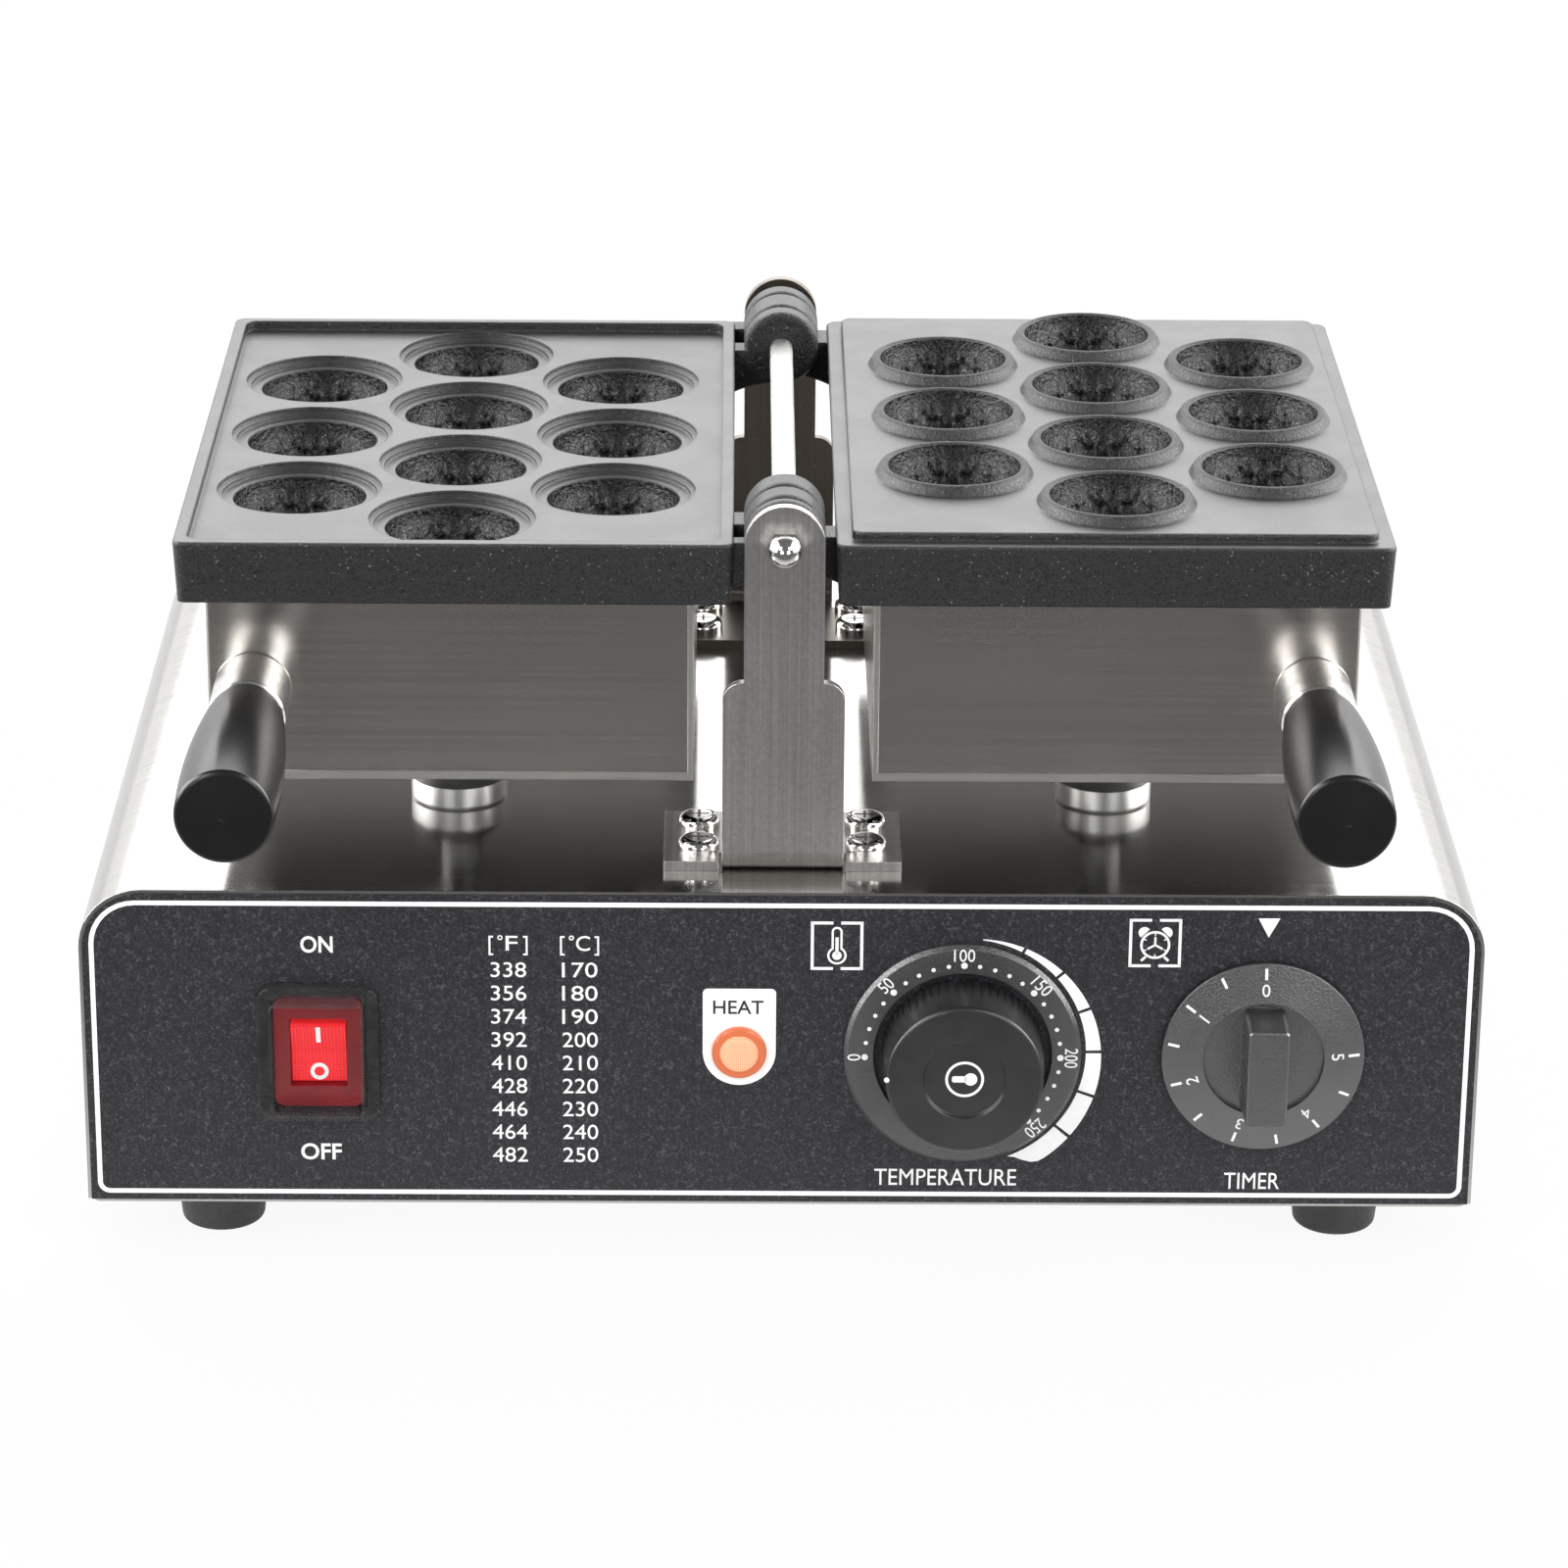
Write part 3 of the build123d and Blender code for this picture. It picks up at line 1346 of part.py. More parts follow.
with BuildPart() as gland_nut:
    with BuildSketch(front_plane(back_panel_y)):
        with Locations((gland_x, gland_z)):
            RegularPolygon(gland_hex_radius, 6, major_radius=False)
            Circle(gland_thread_radius + thread_clearance, mode=Mode.SUBTRACT)
    extrude(amount=gland_nut_length)

with BuildPart() as lead_grommets:
    with Locations(*[(x, y, base_top) for x, y in lead_places]):
        add(grommet(housing_sheet).part)

# Ceramic terminal block on the floor of the base
with BuildPart() as terminal_block:
    with Locations((terminal_block_x, terminal_block_y, base_bottom)):
        Box(
            terminal_block_width,
            terminal_block_depth,
            terminal_block_height,
            align=(Align.CENTER, Align.CENTER, Align.MIN),
        )
    with Locations((terminal_block_x, terminal_block_y, base_bottom + terminal_block_height)):
        with GridLocations(terminal_block_slot_width + terminal_block_wall, 1, terminal_block_slots, 1):
            Box(
                terminal_block_slot_width,
                terminal_block_depth,
                terminal_block_slot_depth,
                align=(Align.CENTER, Align.CENTER, Align.MAX),
                mode=Mode.SUBTRACT,
            )
    with Locations(*[(x, y, base_bottom) for x, y in terminal_screw_places]):
        Cylinder(
            m4_radius + thread_clearance,
            terminal_lug_height,
            align=(Align.CENTER, Align.CENTER, Align.MIN),
            mode=Mode.SUBTRACT,
        )

save(housing_shell, "housing_shell")
save(front_panel, "front_panel")
save(control_overlay, "control_overlay")
save(back_panel, "back_panel")
save(bottom_plate, "bottom_plate")
save(bottom_screws, "bottom_screws")
save(rubber_feet, "rubber_feet")
save(foot_screws, "foot_screws")
save(front_hinge_bracket, "front_hinge_bracket")
save(rear_hinge_bracket, "rear_hinge_bracket")
save(bracket_screws, "bracket_screws")
save(base_nuts, "base_nuts")
save(hinge_shaft, "hinge_shaft")
save(shaft_nuts, "shaft_nuts")
save(shaft_spacer, "shaft_spacer")
save(switch_body, "switch_body")
save(switch_rocker, "switch_rocker")
save(switch_hood, "switch_hood")
save(lamp_bezel, "lamp_bezel")
save(lamp_lens, "lamp_lens")
save(lamp_body, "lamp_body")
save(thermostat_scale, "thermostat_scale")
save(thermostat_knob, "thermostat_knob")
save(control_shaft(thermostat_x, thermostat_knob_back_gap), "thermostat_shaft")
save(
    control_device(thermostat_x, thermostat_body_width, thermostat_body_height, thermostat_body_depth),
    "thermostat_body",
)
save(thermostat_bulb, "thermostat_bulb")
save(timer_knob, "timer_knob")
save(control_shaft(timer_x, timer_back_gap), "timer_shaft")
save(control_device(timer_x, timer_body_width, timer_body_height, timer_body_depth), "timer_body")
save(device_screws, "device_screws")
save(cable_gland, "cable_gland")
save(gland_nut, "gland_nut")
save(lead_grommets, "lead_grommets")
save(terminal_block, "terminal_block")
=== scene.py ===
"""The looks of an open walnut cake maker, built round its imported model.

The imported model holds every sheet, casting, knob and screw. This script gives each of them
its finish, adds what is printed, cast or folded too finely for the model, and sets the
picture: floor, light and camera. Sizes are in millimetres until a mesh is made. Only the
picture's own places and sizes are in metres.
"""

import json
import logging
import math
from dataclasses import dataclass, field
from enum import Enum
from typing import Callable

import bpy
from mathutils import Matrix, Vector, noise


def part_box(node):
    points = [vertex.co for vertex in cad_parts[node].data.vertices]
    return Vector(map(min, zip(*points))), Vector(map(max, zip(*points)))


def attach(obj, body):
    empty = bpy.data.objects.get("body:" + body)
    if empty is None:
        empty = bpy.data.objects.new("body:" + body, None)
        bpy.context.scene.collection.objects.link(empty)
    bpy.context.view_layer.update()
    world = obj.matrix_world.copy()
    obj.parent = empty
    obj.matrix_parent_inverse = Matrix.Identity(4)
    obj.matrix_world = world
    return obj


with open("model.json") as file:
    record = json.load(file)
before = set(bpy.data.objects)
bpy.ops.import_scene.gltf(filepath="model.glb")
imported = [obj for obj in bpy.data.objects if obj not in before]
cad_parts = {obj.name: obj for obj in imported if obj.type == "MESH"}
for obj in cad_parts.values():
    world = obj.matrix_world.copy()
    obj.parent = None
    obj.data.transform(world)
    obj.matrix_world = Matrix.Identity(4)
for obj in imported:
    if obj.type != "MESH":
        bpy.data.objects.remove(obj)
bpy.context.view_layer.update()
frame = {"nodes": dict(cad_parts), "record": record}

logging.basicConfig(level=logging.INFO, format="%(name)s: %(message)s")
log = logging.getLogger("cake_maker")

MM = 0.001

Colour = tuple[float, float, float]
Spot = tuple[float, float]
Outline = list[Spot]
Place = tuple[float, float, float]
Surface = Callable[[float, float, float], Vector]
Socket = bpy.types.NodeSocket
Piece = bpy.types.Object

CENTRE: Spot = (0.0, 0.0)


def corners(node: str) -> tuple[Vector, Vector]:
    """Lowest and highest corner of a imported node, in millimetres."""
    low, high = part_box(node)
    return low / MM, high / MM


def middle(node: str) -> Vector:
    """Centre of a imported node's box, in millimetres."""
    low, high = corners(node)
    return (low + high) / 2


def ease(value: float, start: float, end: float) -> float:
    """The height at value of a smooth step from 0 at start to 1 at end, which may lie below start."""
    share = min(max((value - start) / (end - start), 0.0), 1.0)
    return share * share * (3 - 2 * share)


# Node sheets and finishes


class NodeSheet:
    """One material's nodes, with short calls for what the finishes share."""

    def __init__(self, name: str) -> None:
        """Start a material that has only its shader and its output."""
        self.material = bpy.data.materials.new(name)
        self.material.use_nodes = True
        self.tree = self.material.node_tree
        self.shader = self.tree.nodes["Principled BSDF"]
        self.output = self.tree.nodes["Material Output"]

    def add(self, kind: str, inputs: dict | None = None, **settings: object) -> bpy.types.Node:
        """Add a node.

        Args:
            kind: The node's type without its ShaderNode prefix.
            inputs: Value, or socket to join, for each input by name or number.
            **settings: The node's own properties.

        Returns:
            The new node.
        """
        node = self.tree.nodes.new("ShaderNode" + kind)
        for key, value in settings.items():
            setattr(node, key, value)
        for key, value in (inputs or {}).items():
            self.put(node.inputs[key], value)
        return node

    def put(self, socket: Socket, value: object) -> None:
        """Set an input to a value, or join another node's output to it."""
        if isinstance(value, Socket):
            self.tree.links.new(value, socket)
        else:
            socket.default_value = value

    def set_shader(self, **values: object) -> None:
        """Set the shader's inputs, their names written with underscores."""
        for key, value in values.items():
            self.put(self.shader.inputs[key.replace("_", " ")], value)

    def place(self) -> Socket:
        """The place on the piece, in metres."""
        return self.add("TexCoord").outputs["Object"]

    def stretched(self, scale: Place) -> Socket:
        """The place with each axis multiplied by its own number."""
        node = self.add("Mapping", {"Vector": self.place(), "Scale": scale})
        return node.outputs["Vector"]

    def grain(
        self,
        scale: float | Place,
        detail: float = 2.0,
        rough: float = 0.5,
        low: float = 0.35,
        high: float = 0.65,
    ) -> Socket:
        """Noise from 0 to 1.

        Args:
            scale: Waves to the metre, one number or one for each axis.
            detail: Octaves of finer noise.
            rough: How much the finer octaves count.
            low: The noise value that becomes 0.
            high: The noise value that becomes 1.

        Returns:
            The socket that carries it.
        """
        steps = scale if isinstance(scale, tuple) else (scale,) * 3
        cloud = self.add(
            "TexNoise",
            {"Vector": self.stretched(steps), "Scale": 1.0, "Detail": detail, "Roughness": rough},
        )
        return self.span(cloud.outputs["Fac"], low, high)

    def span(self, value: object, low: float, high: float, start: float = 0.0, end: float = 1.0) -> Socket:
        """Map a number from the range low to high onto start to end, held at both."""
        node = self.add(
            "MapRange",
            {"Value": value, "From Min": low, "From Max": high, "To Min": start, "To Max": end},
            interpolation_type="SMOOTHSTEP",
        )
        return node.outputs["Result"]

    def fade(self, share: object, start: float, end: float) -> Socket:
        """Map a number from 0 to 1 onto start to end."""
        return self.span(share, 0.0, 1.0, start, end)

    def blend(self, share: object, first: object, second: object) -> Socket:
        """Mix two colours, the second one counting by share."""
        node = self.add("Mix", data_type="RGBA")
        self.put(node.inputs["Factor"], share)
        for key, value in (("A", first), ("B", second)):
            if isinstance(value, tuple) and len(value) == 3:
                value = (*value, 1.0)
            socket = next(s for s in node.inputs if s.name == key and s.type == "RGBA")
            self.put(socket, value)
        return next(s for s in node.outputs if s.type == "RGBA")

    def step(self, kind: str, *values: object) -> Socket:
        """One step of arithmetic on one or two numbers."""
        return self.add("Math", dict(enumerate(values)), operation=kind).outputs[0]

    def sum(self, *values: object, kind: str = "ADD") -> Socket:
        """Join numbers with one kind of arithmetic, from left to right."""
        total = values[0]
        for value in values[1:]:
            total = self.step(kind, total, value)
        return total

    def times(self, *values: object) -> Socket:
        """Multiply numbers, from left to right."""
        return self.sum(*values, kind="MULTIPLY")

    def axis(self, name: str) -> Socket:
        """One coordinate of the place, in metres."""
        return self.add("SeparateXYZ", {0: self.place()}).outputs[name]

    def facing(self, name: str) -> Socket:
        """One coordinate of the direction that the surface faces, seen from the piece."""
        way = self.add("TexCoord").outputs["Normal"]
        return self.add("SeparateXYZ", {0: way}).outputs[name]

    def rounded(self, radius: float) -> Socket:
        """The surface direction with every edge softened to a radius in millimetres."""
        node = self.add("Bevel", {"Radius": radius * MM}, samples=6)
        return node.outputs["Normal"]

    def bumped(self, height: object, depth: float, under: object = None) -> Socket:
        """The surface direction over a height from 0 to 1.

        Args:
            height: The height.
            depth: How many millimetres a height of 1 rises.
            under: The direction that it starts from.

        Returns:
            The socket that carries it.
        """
        node = self.add("Bump", {"Height": height, "Distance": depth * MM, "Strength": 1.0})
        if under is not None:
            self.put(node.inputs["Normal"], under)
        return node.outputs["Normal"]


@dataclass(frozen=True)
class Finish:
    """A surface, named for what it is."""

    name: str

    def material(self) -> bpy.types.Material:
        """The finish's material, made the first time that it is asked for."""
        known = bpy.data.materials.get(self.name)
        if known is not None:
            return known
        sheet = NodeSheet(self.name)
        self.draw(sheet)
        return sheet.material

    def draw(self, sheet: NodeSheet) -> None:
        """Lay the finish's nodes on its sheet."""
        raise NotImplementedError


class Brush(Enum):
    """Which way a sheet was brushed: how its lines stretch, and the way they spread light."""

    ROUND_THE_WRAP = ((5.0, 1100.0, 5.0), (0.03, 1.0, 0.02))
    ACROSS = ((5.0, 1100.0, 1100.0), (0.03, 0.02, 1.0))
    UPRIGHT = ((1100.0, 8.0, 8.0), (1.0, 0.03, 0.02))

    @property
    def lines(self) -> Place:
        """Brush lines to the metre along each axis."""
        return self.value[0]

    @property
    def spread(self) -> Place:
        """The direction in which a highlight is drawn out."""
        return self.value[1]


@dataclass(frozen=True)
class BrushedSteel(Finish):
    """Stainless sheet with brush lines, dust and dull handling marks."""

    brush: Brush = Brush.ACROSS
    base: Colour = (0.56, 0.55, 0.53)
    roughness: float = 0.24
    anisotropy: float = 0.5
    edge: float = 0.35
    contrast: float = 0.06
    line_depth: float = 0.0008
    mottle: float = 0.06
    mottle_size: float = 1.1
    mottle_depth: float = 0.7
    drift: float = 0.012
    fine_drift: float = 0.01
    dust: float = 0.3
    dust_colour: Colour = (0.9, 0.89, 0.87)
    heat_tint: float = 0.0
    heat_colour: Colour = (0.42, 0.33, 0.26)
    heat_place: float = 0.0
    heat_reach: float = 60.0
    underside: float = 0.0

    def draw(self, sheet: NodeSheet) -> None:
        """Brush lines over a fine mottle, brown where the sheet has been hot, and painted shade on faces
        that look down.
        """
        fine = sheet.grain(self.brush.lines, 3.0, 0.6, 0.3, 0.7)
        cloud = sheet.grain(1000.0 / self.mottle_size, 3.0, 0.6, 0.25, 0.75)
        marks = sheet.grain(24.0, 3.0, 0.55)
        dust = sheet.grain(700.0, 1.0, 0.5, 0.765, 0.79)
        tone = sheet.blend(fine, self.shade(-self.contrast), self.shade(self.contrast))
        tone = sheet.blend(sheet.times(cloud, self.mottle), tone, self.shade(-self.mottle_depth))
        if self.heat_tint:
            near = sheet.span(
                sheet.axis("Z"), (self.heat_place - self.heat_reach) * MM, self.heat_place * MM
            )
            share = sheet.times(near, sheet.fade(marks, 0.5, 1.0), self.heat_tint)
            tone = sheet.blend(share, tone, self.heat_colour)
        tone = sheet.blend(sheet.times(dust, self.dust), tone, self.dust_colour)
        # Painted shade: faces that look down are blended towards near black, standing in for the shade
        # under the sheet.
        if self.underside:
            below = sheet.span(sheet.facing("Z"), -0.9, -0.5, self.underside, 0.0)
            tone = sheet.blend(below, tone, (0.01, 0.01, 0.01))
        rough = sheet.sum(
            sheet.fade(marks, self.roughness - self.drift, self.roughness + self.drift),
            sheet.fade(fine, -self.fine_drift, self.fine_drift),
        )
        way = sheet.add("CombineXYZ", dict(enumerate(self.brush.spread)))
        turned = sheet.add(
            "VectorTransform", {0: way.outputs[0]}, convert_from="OBJECT", convert_to="WORLD"
        )
        sheet.set_shader(
            Base_Color=tone,
            Metallic=1.0,
            Roughness=rough,
            Anisotropic=self.anisotropy,
            Tangent=turned.outputs[0],
            Normal=sheet.bumped(fine, self.line_depth, sheet.rounded(self.edge)),
        )

    def shade(self, share: float) -> Colour:
        """The base colour, lighter or darker by a share of itself."""
        return tuple(min(part * (1 + share), 1.0) for part in self.base)


@dataclass(frozen=True)
class BrightMetal(Finish):
    """Plated or turned metal, with turning marks if it has any."""

    base: Colour = (0.72, 0.71, 0.69)
    roughness: float = 0.14
    edge: float = 0.3
    marks: float = 0.0
    tarnish: float = 0.12

    def draw(self, sheet: NodeSheet) -> None:
        """A bright tone with a thin tarnish and fine marks round the piece."""
        cloud = sheet.grain(160.0, 4.0, 0.65)
        dull = tuple(part * (1 - self.tarnish * 2.5) for part in self.base)
        sheet.set_shader(
            Base_Color=sheet.blend(cloud, self.base, dull),
            Metallic=1.0,
            Roughness=sheet.fade(cloud, self.roughness, self.roughness + self.tarnish),
        )
        normal = sheet.rounded(self.edge)
        if self.marks:
            rings = sheet.grain((40.0, 40.0, 2600.0), 2.0)
            normal = sheet.bumped(rings, self.marks, normal)
        sheet.set_shader(Normal=normal)


@dataclass(frozen=True)
class CoatedCasting(Finish):
    """Cast aluminium under a dark release coat, pebbled, and shiny only on level faces.

    No face that stands over field_top counts as level, so raised rings are as dull as the sides.
    """

    base: Colour = (0.007, 0.007, 0.008)
    worn: Colour = (0.024, 0.024, 0.026)
    fleck: Colour = (0.34, 0.34, 0.36)
    roughness: float = 0.36
    gloss: float = 2.1
    grain_size: float = 0.8
    pebble: float = 0.10
    level_share: float = 0.2
    flecks: float = 0.55
    edge: float = 1.1
    field_top: float = 1000.0
    raised_from: float = 0.4
    raised_band: float = 0.5
    level_gloss: float = 0.5
    side_gloss: float = 0.17
    drift: float = 0.02

    def draw(self, sheet: NodeSheet) -> None:
        """A fine pebble that is smoother on level faces, with pale specks on the others that are painted
        glints.
        """
        pebble = sheet.grain(1000.0 / self.grain_size, 3.0, 0.65)
        wave = sheet.grain(60.0, 2.0, 0.5)
        top = self.field_top + self.raised_from
        raised = sheet.span(sheet.axis("Z"), top * MM, (top + self.raised_band) * MM)
        level = sheet.span(sheet.facing("Z"), 0.6, 0.95)
        level = sheet.times(level, sheet.fade(raised, 1.0, 0.0))
        tone = sheet.blend(pebble, self.base, self.worn)
        # Painted glints: pale specks on faces that are not level, standing in for light caught by the
        # pebble.
        share = sheet.times(
            sheet.grain(900.0 / self.grain_size, 1.0, 0.5, 0.71, 0.76),
            sheet.fade(level, self.flecks, 0.0),
        )
        tone = sheet.blend(share, tone, self.fleck)
        height = sheet.times(pebble, sheet.fade(level, 1.0, self.level_share))
        sheet.set_shader(
            Base_Color=tone,
            Roughness=sheet.fade(wave, self.roughness - self.drift, self.roughness + self.drift),
            IOR=self.gloss,
            Specular_IOR_Level=sheet.fade(level, self.side_gloss, self.level_gloss),
            Normal=sheet.bumped(height, self.pebble, sheet.rounded(self.edge)),
        )


@dataclass(frozen=True)
class Moulding(Finish):
    """Moulded plastic or rubber, glossy or finely grained."""

    base: Colour = (0.028, 0.028, 0.030)
    roughness: float = 0.42
    grain_size: float = 0.45
    grain_depth: float = 0.012
    edge: float = 0.4
    coat: float = 0.0
    gloss: float = 1.5
    glow: float = 0.0

    def draw(self, sheet: NodeSheet) -> None:
        """A fine grain, with a little more shine on its tops."""
        grain = sheet.grain(1000.0 / self.grain_size, 2.0, 0.6)
        cloud = sheet.grain(60.0, 3.0, 0.6)
        lighter = tuple(min(part * 1.45 + 0.004, 1.0) for part in self.base)
        tone = sheet.blend(sheet.fade(cloud, 0.0, 0.7), self.base, lighter)
        sheet.set_shader(
            Base_Color=tone,
            Roughness=sheet.fade(grain, self.roughness * 1.12, self.roughness * 0.88),
            IOR=self.gloss,
            Coat_Weight=self.coat,
            Coat_Roughness=0.03,
            Normal=sheet.bumped(grain, self.grain_depth, sheet.rounded(self.edge)),
        )
        # Painted glow: the moulding emits its own colour though it is no lamp.
        if self.glow:
            sheet.set_shader(Emission_Color=(*self.base, 1.0), Emission_Strength=self.glow)


@dataclass(frozen=True)
class PrintedFilm(Finish):
    """The dark overlay film, speckled through its matt top coat."""

    base: Colour = (0.009, 0.009, 0.012)
    speckle: Colour = (0.080, 0.077, 0.090)
    dust: float = 0.2
    dust_colour: Colour = (0.35, 0.35, 0.37)

    def draw(self, sheet: NodeSheet) -> None:
        """Two sizes of speckle on a nearly black ground."""
        fine = sheet.grain(1250.0, 2.0, 0.7, 0.42, 0.66)
        coarse = sheet.grain(520.0, 2.0, 0.6, 0.45, 0.7)
        dust = sheet.grain(1500.0, 0.0, 0.5, 0.80, 0.83)
        share = sheet.times(fine, sheet.fade(coarse, 0.35, 1.0))
        tone = sheet.blend(share, self.base, self.speckle)
        tone = sheet.blend(sheet.times(dust, self.dust), tone, self.dust_colour)
        sheet.set_shader(
            Base_Color=tone,
            Roughness=sheet.fade(fine, 0.48, 0.6),
            Normal=sheet.bumped(fine, 0.010),
        )


@dataclass(frozen=True)
class Ink(Finish):
    """Screen-printed ink, a little uneven in thickness."""

    base: Colour = (0.98, 0.98, 0.98)
    glow: float = 0.0

    def draw(self, sheet: NodeSheet) -> None:
        """A flat tone with faint thin places, and a painted glow of its own colour when glow is set."""
        cloud = sheet.grain(700.0, 3.0, 0.6)
        thin = tuple(part * 0.94 for part in self.base)
        tone = sheet.blend(cloud, self.base, thin)
        sheet.set_shader(
            Base_Color=tone,
            Roughness=sheet.fade(cloud, 0.45, 0.6),
            # Emission here is painted light: the ink glows though it is no lamp.
            Emission_Color=tone,
            Emission_Strength=self.glow,
        )


@dataclass(frozen=True)
class ClearSkin(Finish):
    """Soft clear plastic over the switch, cloudier in its frame than over its window."""

    base: Colour = (0.10, 0.10, 0.10)
    centre: Spot = CENTRE
    window: Spot = (20.0, 30.0)
    cloudy: float = 0.34
    clear: float = 0.02
    edge: Spot = (-0.6, 0.4)

    def draw(self, sheet: NodeSheet) -> None:
        """See-through over the window, and cloudy outside it."""
        across, up = (self.beyond(sheet, *side) for side in zip("XZ", self.centre, self.window))
        outside = sheet.step("MAXIMUM", across, up)
        waves = sheet.grain(260.0, 2.0)
        sheet.set_shader(
            Base_Color=sheet.blend(waves, self.base, tuple(part * 0.6 for part in self.base)),
            Roughness=sheet.fade(waves, 0.14, 0.24),
            Alpha=sheet.fade(outside, self.clear, self.cloudy),
            Normal=sheet.bumped(waves, 0.06, sheet.rounded(0.8)),
        )

    def beyond(self, sheet: NodeSheet, axis: str, centre: float, size: float) -> Socket:
        """How far past the window's edge a place lies along one axis, from 0 to 1."""
        offset = sheet.step("SUBTRACT", sheet.axis(axis), centre * MM)
        distance = sheet.step("ABSOLUTE", offset)
        return sheet.span(distance, *((size / 2 + past) * MM for past in self.edge))


@dataclass(frozen=True)
class LitLens(Finish):
    """A clear moulding with a fine mesh in it, lit from behind."""

    base: Colour = (0.95, 0.56, 0.36)
    lines: Colour = (0.72, 0.26, 0.12)
    pitch: float = 0.55
    glow: float = 0.42

    def draw(self, sheet: NodeSheet) -> None:
        """Crossed moulded lines with bright cells between them."""
        steps = 1000.0 * math.tau / self.pitch
        waves = []
        for axis in ("X", "Z"):
            waves.append(sheet.step("SINE", sheet.times(sheet.axis(axis), steps)))
        cells = sheet.span(sheet.sum(*waves), -0.9, 0.8)
        tone = sheet.blend(cells, self.lines, self.base)
        sheet.set_shader(
            Base_Color=tone,
            Roughness=sheet.fade(cells, 0.35, 0.2),
            Emission_Color=tone,
            Emission_Strength=self.glow,
            Normal=sheet.bumped(cells, 0.08),
        )


@dataclass(frozen=True)
class Fibre(Finish):
    """Pressed ceramic fibre board."""

    base: Colour = (0.78, 0.77, 0.72)

    def draw(self, sheet: NodeSheet) -> None:
        """Matted strands with a soft uneven surface."""
        strands = sheet.grain((900.0, 220.0, 500.0), 5.0, 0.7)
        sheet.set_shader(
            Base_Color=sheet.blend(strands, self.base, (0.6, 0.58, 0.52)),
            Roughness=sheet.fade(strands, 0.8, 0.95),
            Normal=sheet.bumped(strands, 0.4),
        )


WRAP_STEEL = BrushedSteel(
    "wrap_steel",
    Brush.ROUND_THE_WRAP,
    base=(0.54, 0.53, 0.51),
    roughness=0.13,
    mottle=0.03,
    line_depth=0.0003,
)
PANEL_STEEL = BrushedSteel("panel_steel", Brush.ACROSS)
POST_STEEL = BrushedSteel(
    "post_steel",
    Brush.UPRIGHT,
    base=(0.78, 0.75, 0.73),
    roughness=0.32,
    contrast=0.10,
    mottle=0.22,
    heat_tint=0.12,
    heat_place=225.0,
    heat_reach=45.0,
)
# A darker copy of the post steel: its dark base is painted shade for the rear bracket, with a heat tint
# over it.
SHADED_REAR_POST_STEEL = BrushedSteel(
    "shaded_rear_post_steel",
    Brush.UPRIGHT,
    base=(0.20, 0.18, 0.16),
    roughness=0.30,
    heat_tint=0.3,
    heat_place=225.0,
)
BOX_STEEL = BrushedSteel(
    "box_steel",
    Brush.ACROSS,
    base=(0.58, 0.55, 0.52),
    roughness=0.22,
    contrast=0.025,
    line_depth=0.0003,
    mottle=0.08,
    heat_tint=0.15,
    heat_place=200.0,
    heat_reach=60.0,
    # The box's underside takes painted shade.
    underside=0.9,
)
# A lighter copy of the box steel: the hem's pale tone is a painted highlight along the box's edges.
HIGHLIT_HEM_STEEL = BrushedSteel("highlit_hem_steel", Brush.ACROSS, base=(0.80, 0.77, 0.74), roughness=0.3, contrast=0.02)
BRIGHT_STEEL = BrightMetal("bright_steel", roughness=0.10, tarnish=0.06)
SHAFT_STEEL = BrightMetal("shaft_steel", base=(0.74, 0.73, 0.70), roughness=0.36)
FERRULE_STEEL = BrightMetal(
    "ferrule_steel", base=(0.86, 0.86, 0.85), roughness=0.19, tarnish=0.05, edge=0.6
)
TURNED_ALUMINIUM = BrightMetal(
    "turned_aluminium", base=(0.86, 0.86, 0.85), roughness=0.26, marks=0.02, edge=0.5
)
ELEMENT_SHEATH = BrightMetal("element_sheath", base=(0.22, 0.20, 0.18), roughness=0.45)
CASTING = CoatedCasting("release_coat", field_top=218.1)
ARM_CASTING = CoatedCasting("arm_coat", roughness=0.32, gloss=1.8, edge=1.4, pebble=0.14, level_share=0.6)
# A glossier copy of the release coat for the cup relief; its darker base and worn tones are painted shade
# of the hollows.
SHADED_CUP_COAT = CoatedCasting(
    "shaded_cup_coat",
    base=(0.003, 0.003, 0.004),
    worn=(0.009, 0.009, 0.010),
    roughness=0.13,
    gloss=1.55,
    grain_size=1.3,
    pebble=0.16,
    level_share=1.0,
    flecks=0.0,
    edge=0.2,
    side_gloss=0.27,
)
GLOSS_BLACK = Moulding(
    "gloss_black", base=(0.004, 0.004, 0.005), roughness=0.035, grain_depth=0.0004, coat=0.8, edge=0.8
)
KNOB_BLACK = Moulding("knob_black", base=(0.010, 0.010, 0.011), roughness=0.33, gloss=1.7)
TIMER_BLACK = Moulding(
    "timer_black", base=(0.012, 0.012, 0.013), roughness=0.32, gloss=2.5, grain_size=0.7, grain_depth=0.04
)
DIAL_BLACK = Moulding(
    "dial_black", base=(0.022, 0.022, 0.023), roughness=0.34, gloss=2.1, grain_size=0.7, grain_depth=0.05
)
CASE_BLACK = Moulding("case_black", base=(0.02, 0.02, 0.02), roughness=0.5)
RUBBER = Moulding(
    "foot_rubber", base=(0.045, 0.046, 0.048), roughness=0.62, grain_size=0.9, grain_depth=0.03
)
FILM = PrintedFilm("overlay_film")
# The white ink's glow is painted light, making the print read brighter.
WHITE_INK = Ink("white_ink", glow=0.14)
BLACK_INK = Ink("black_ink", base=(0.02, 0.02, 0.022))
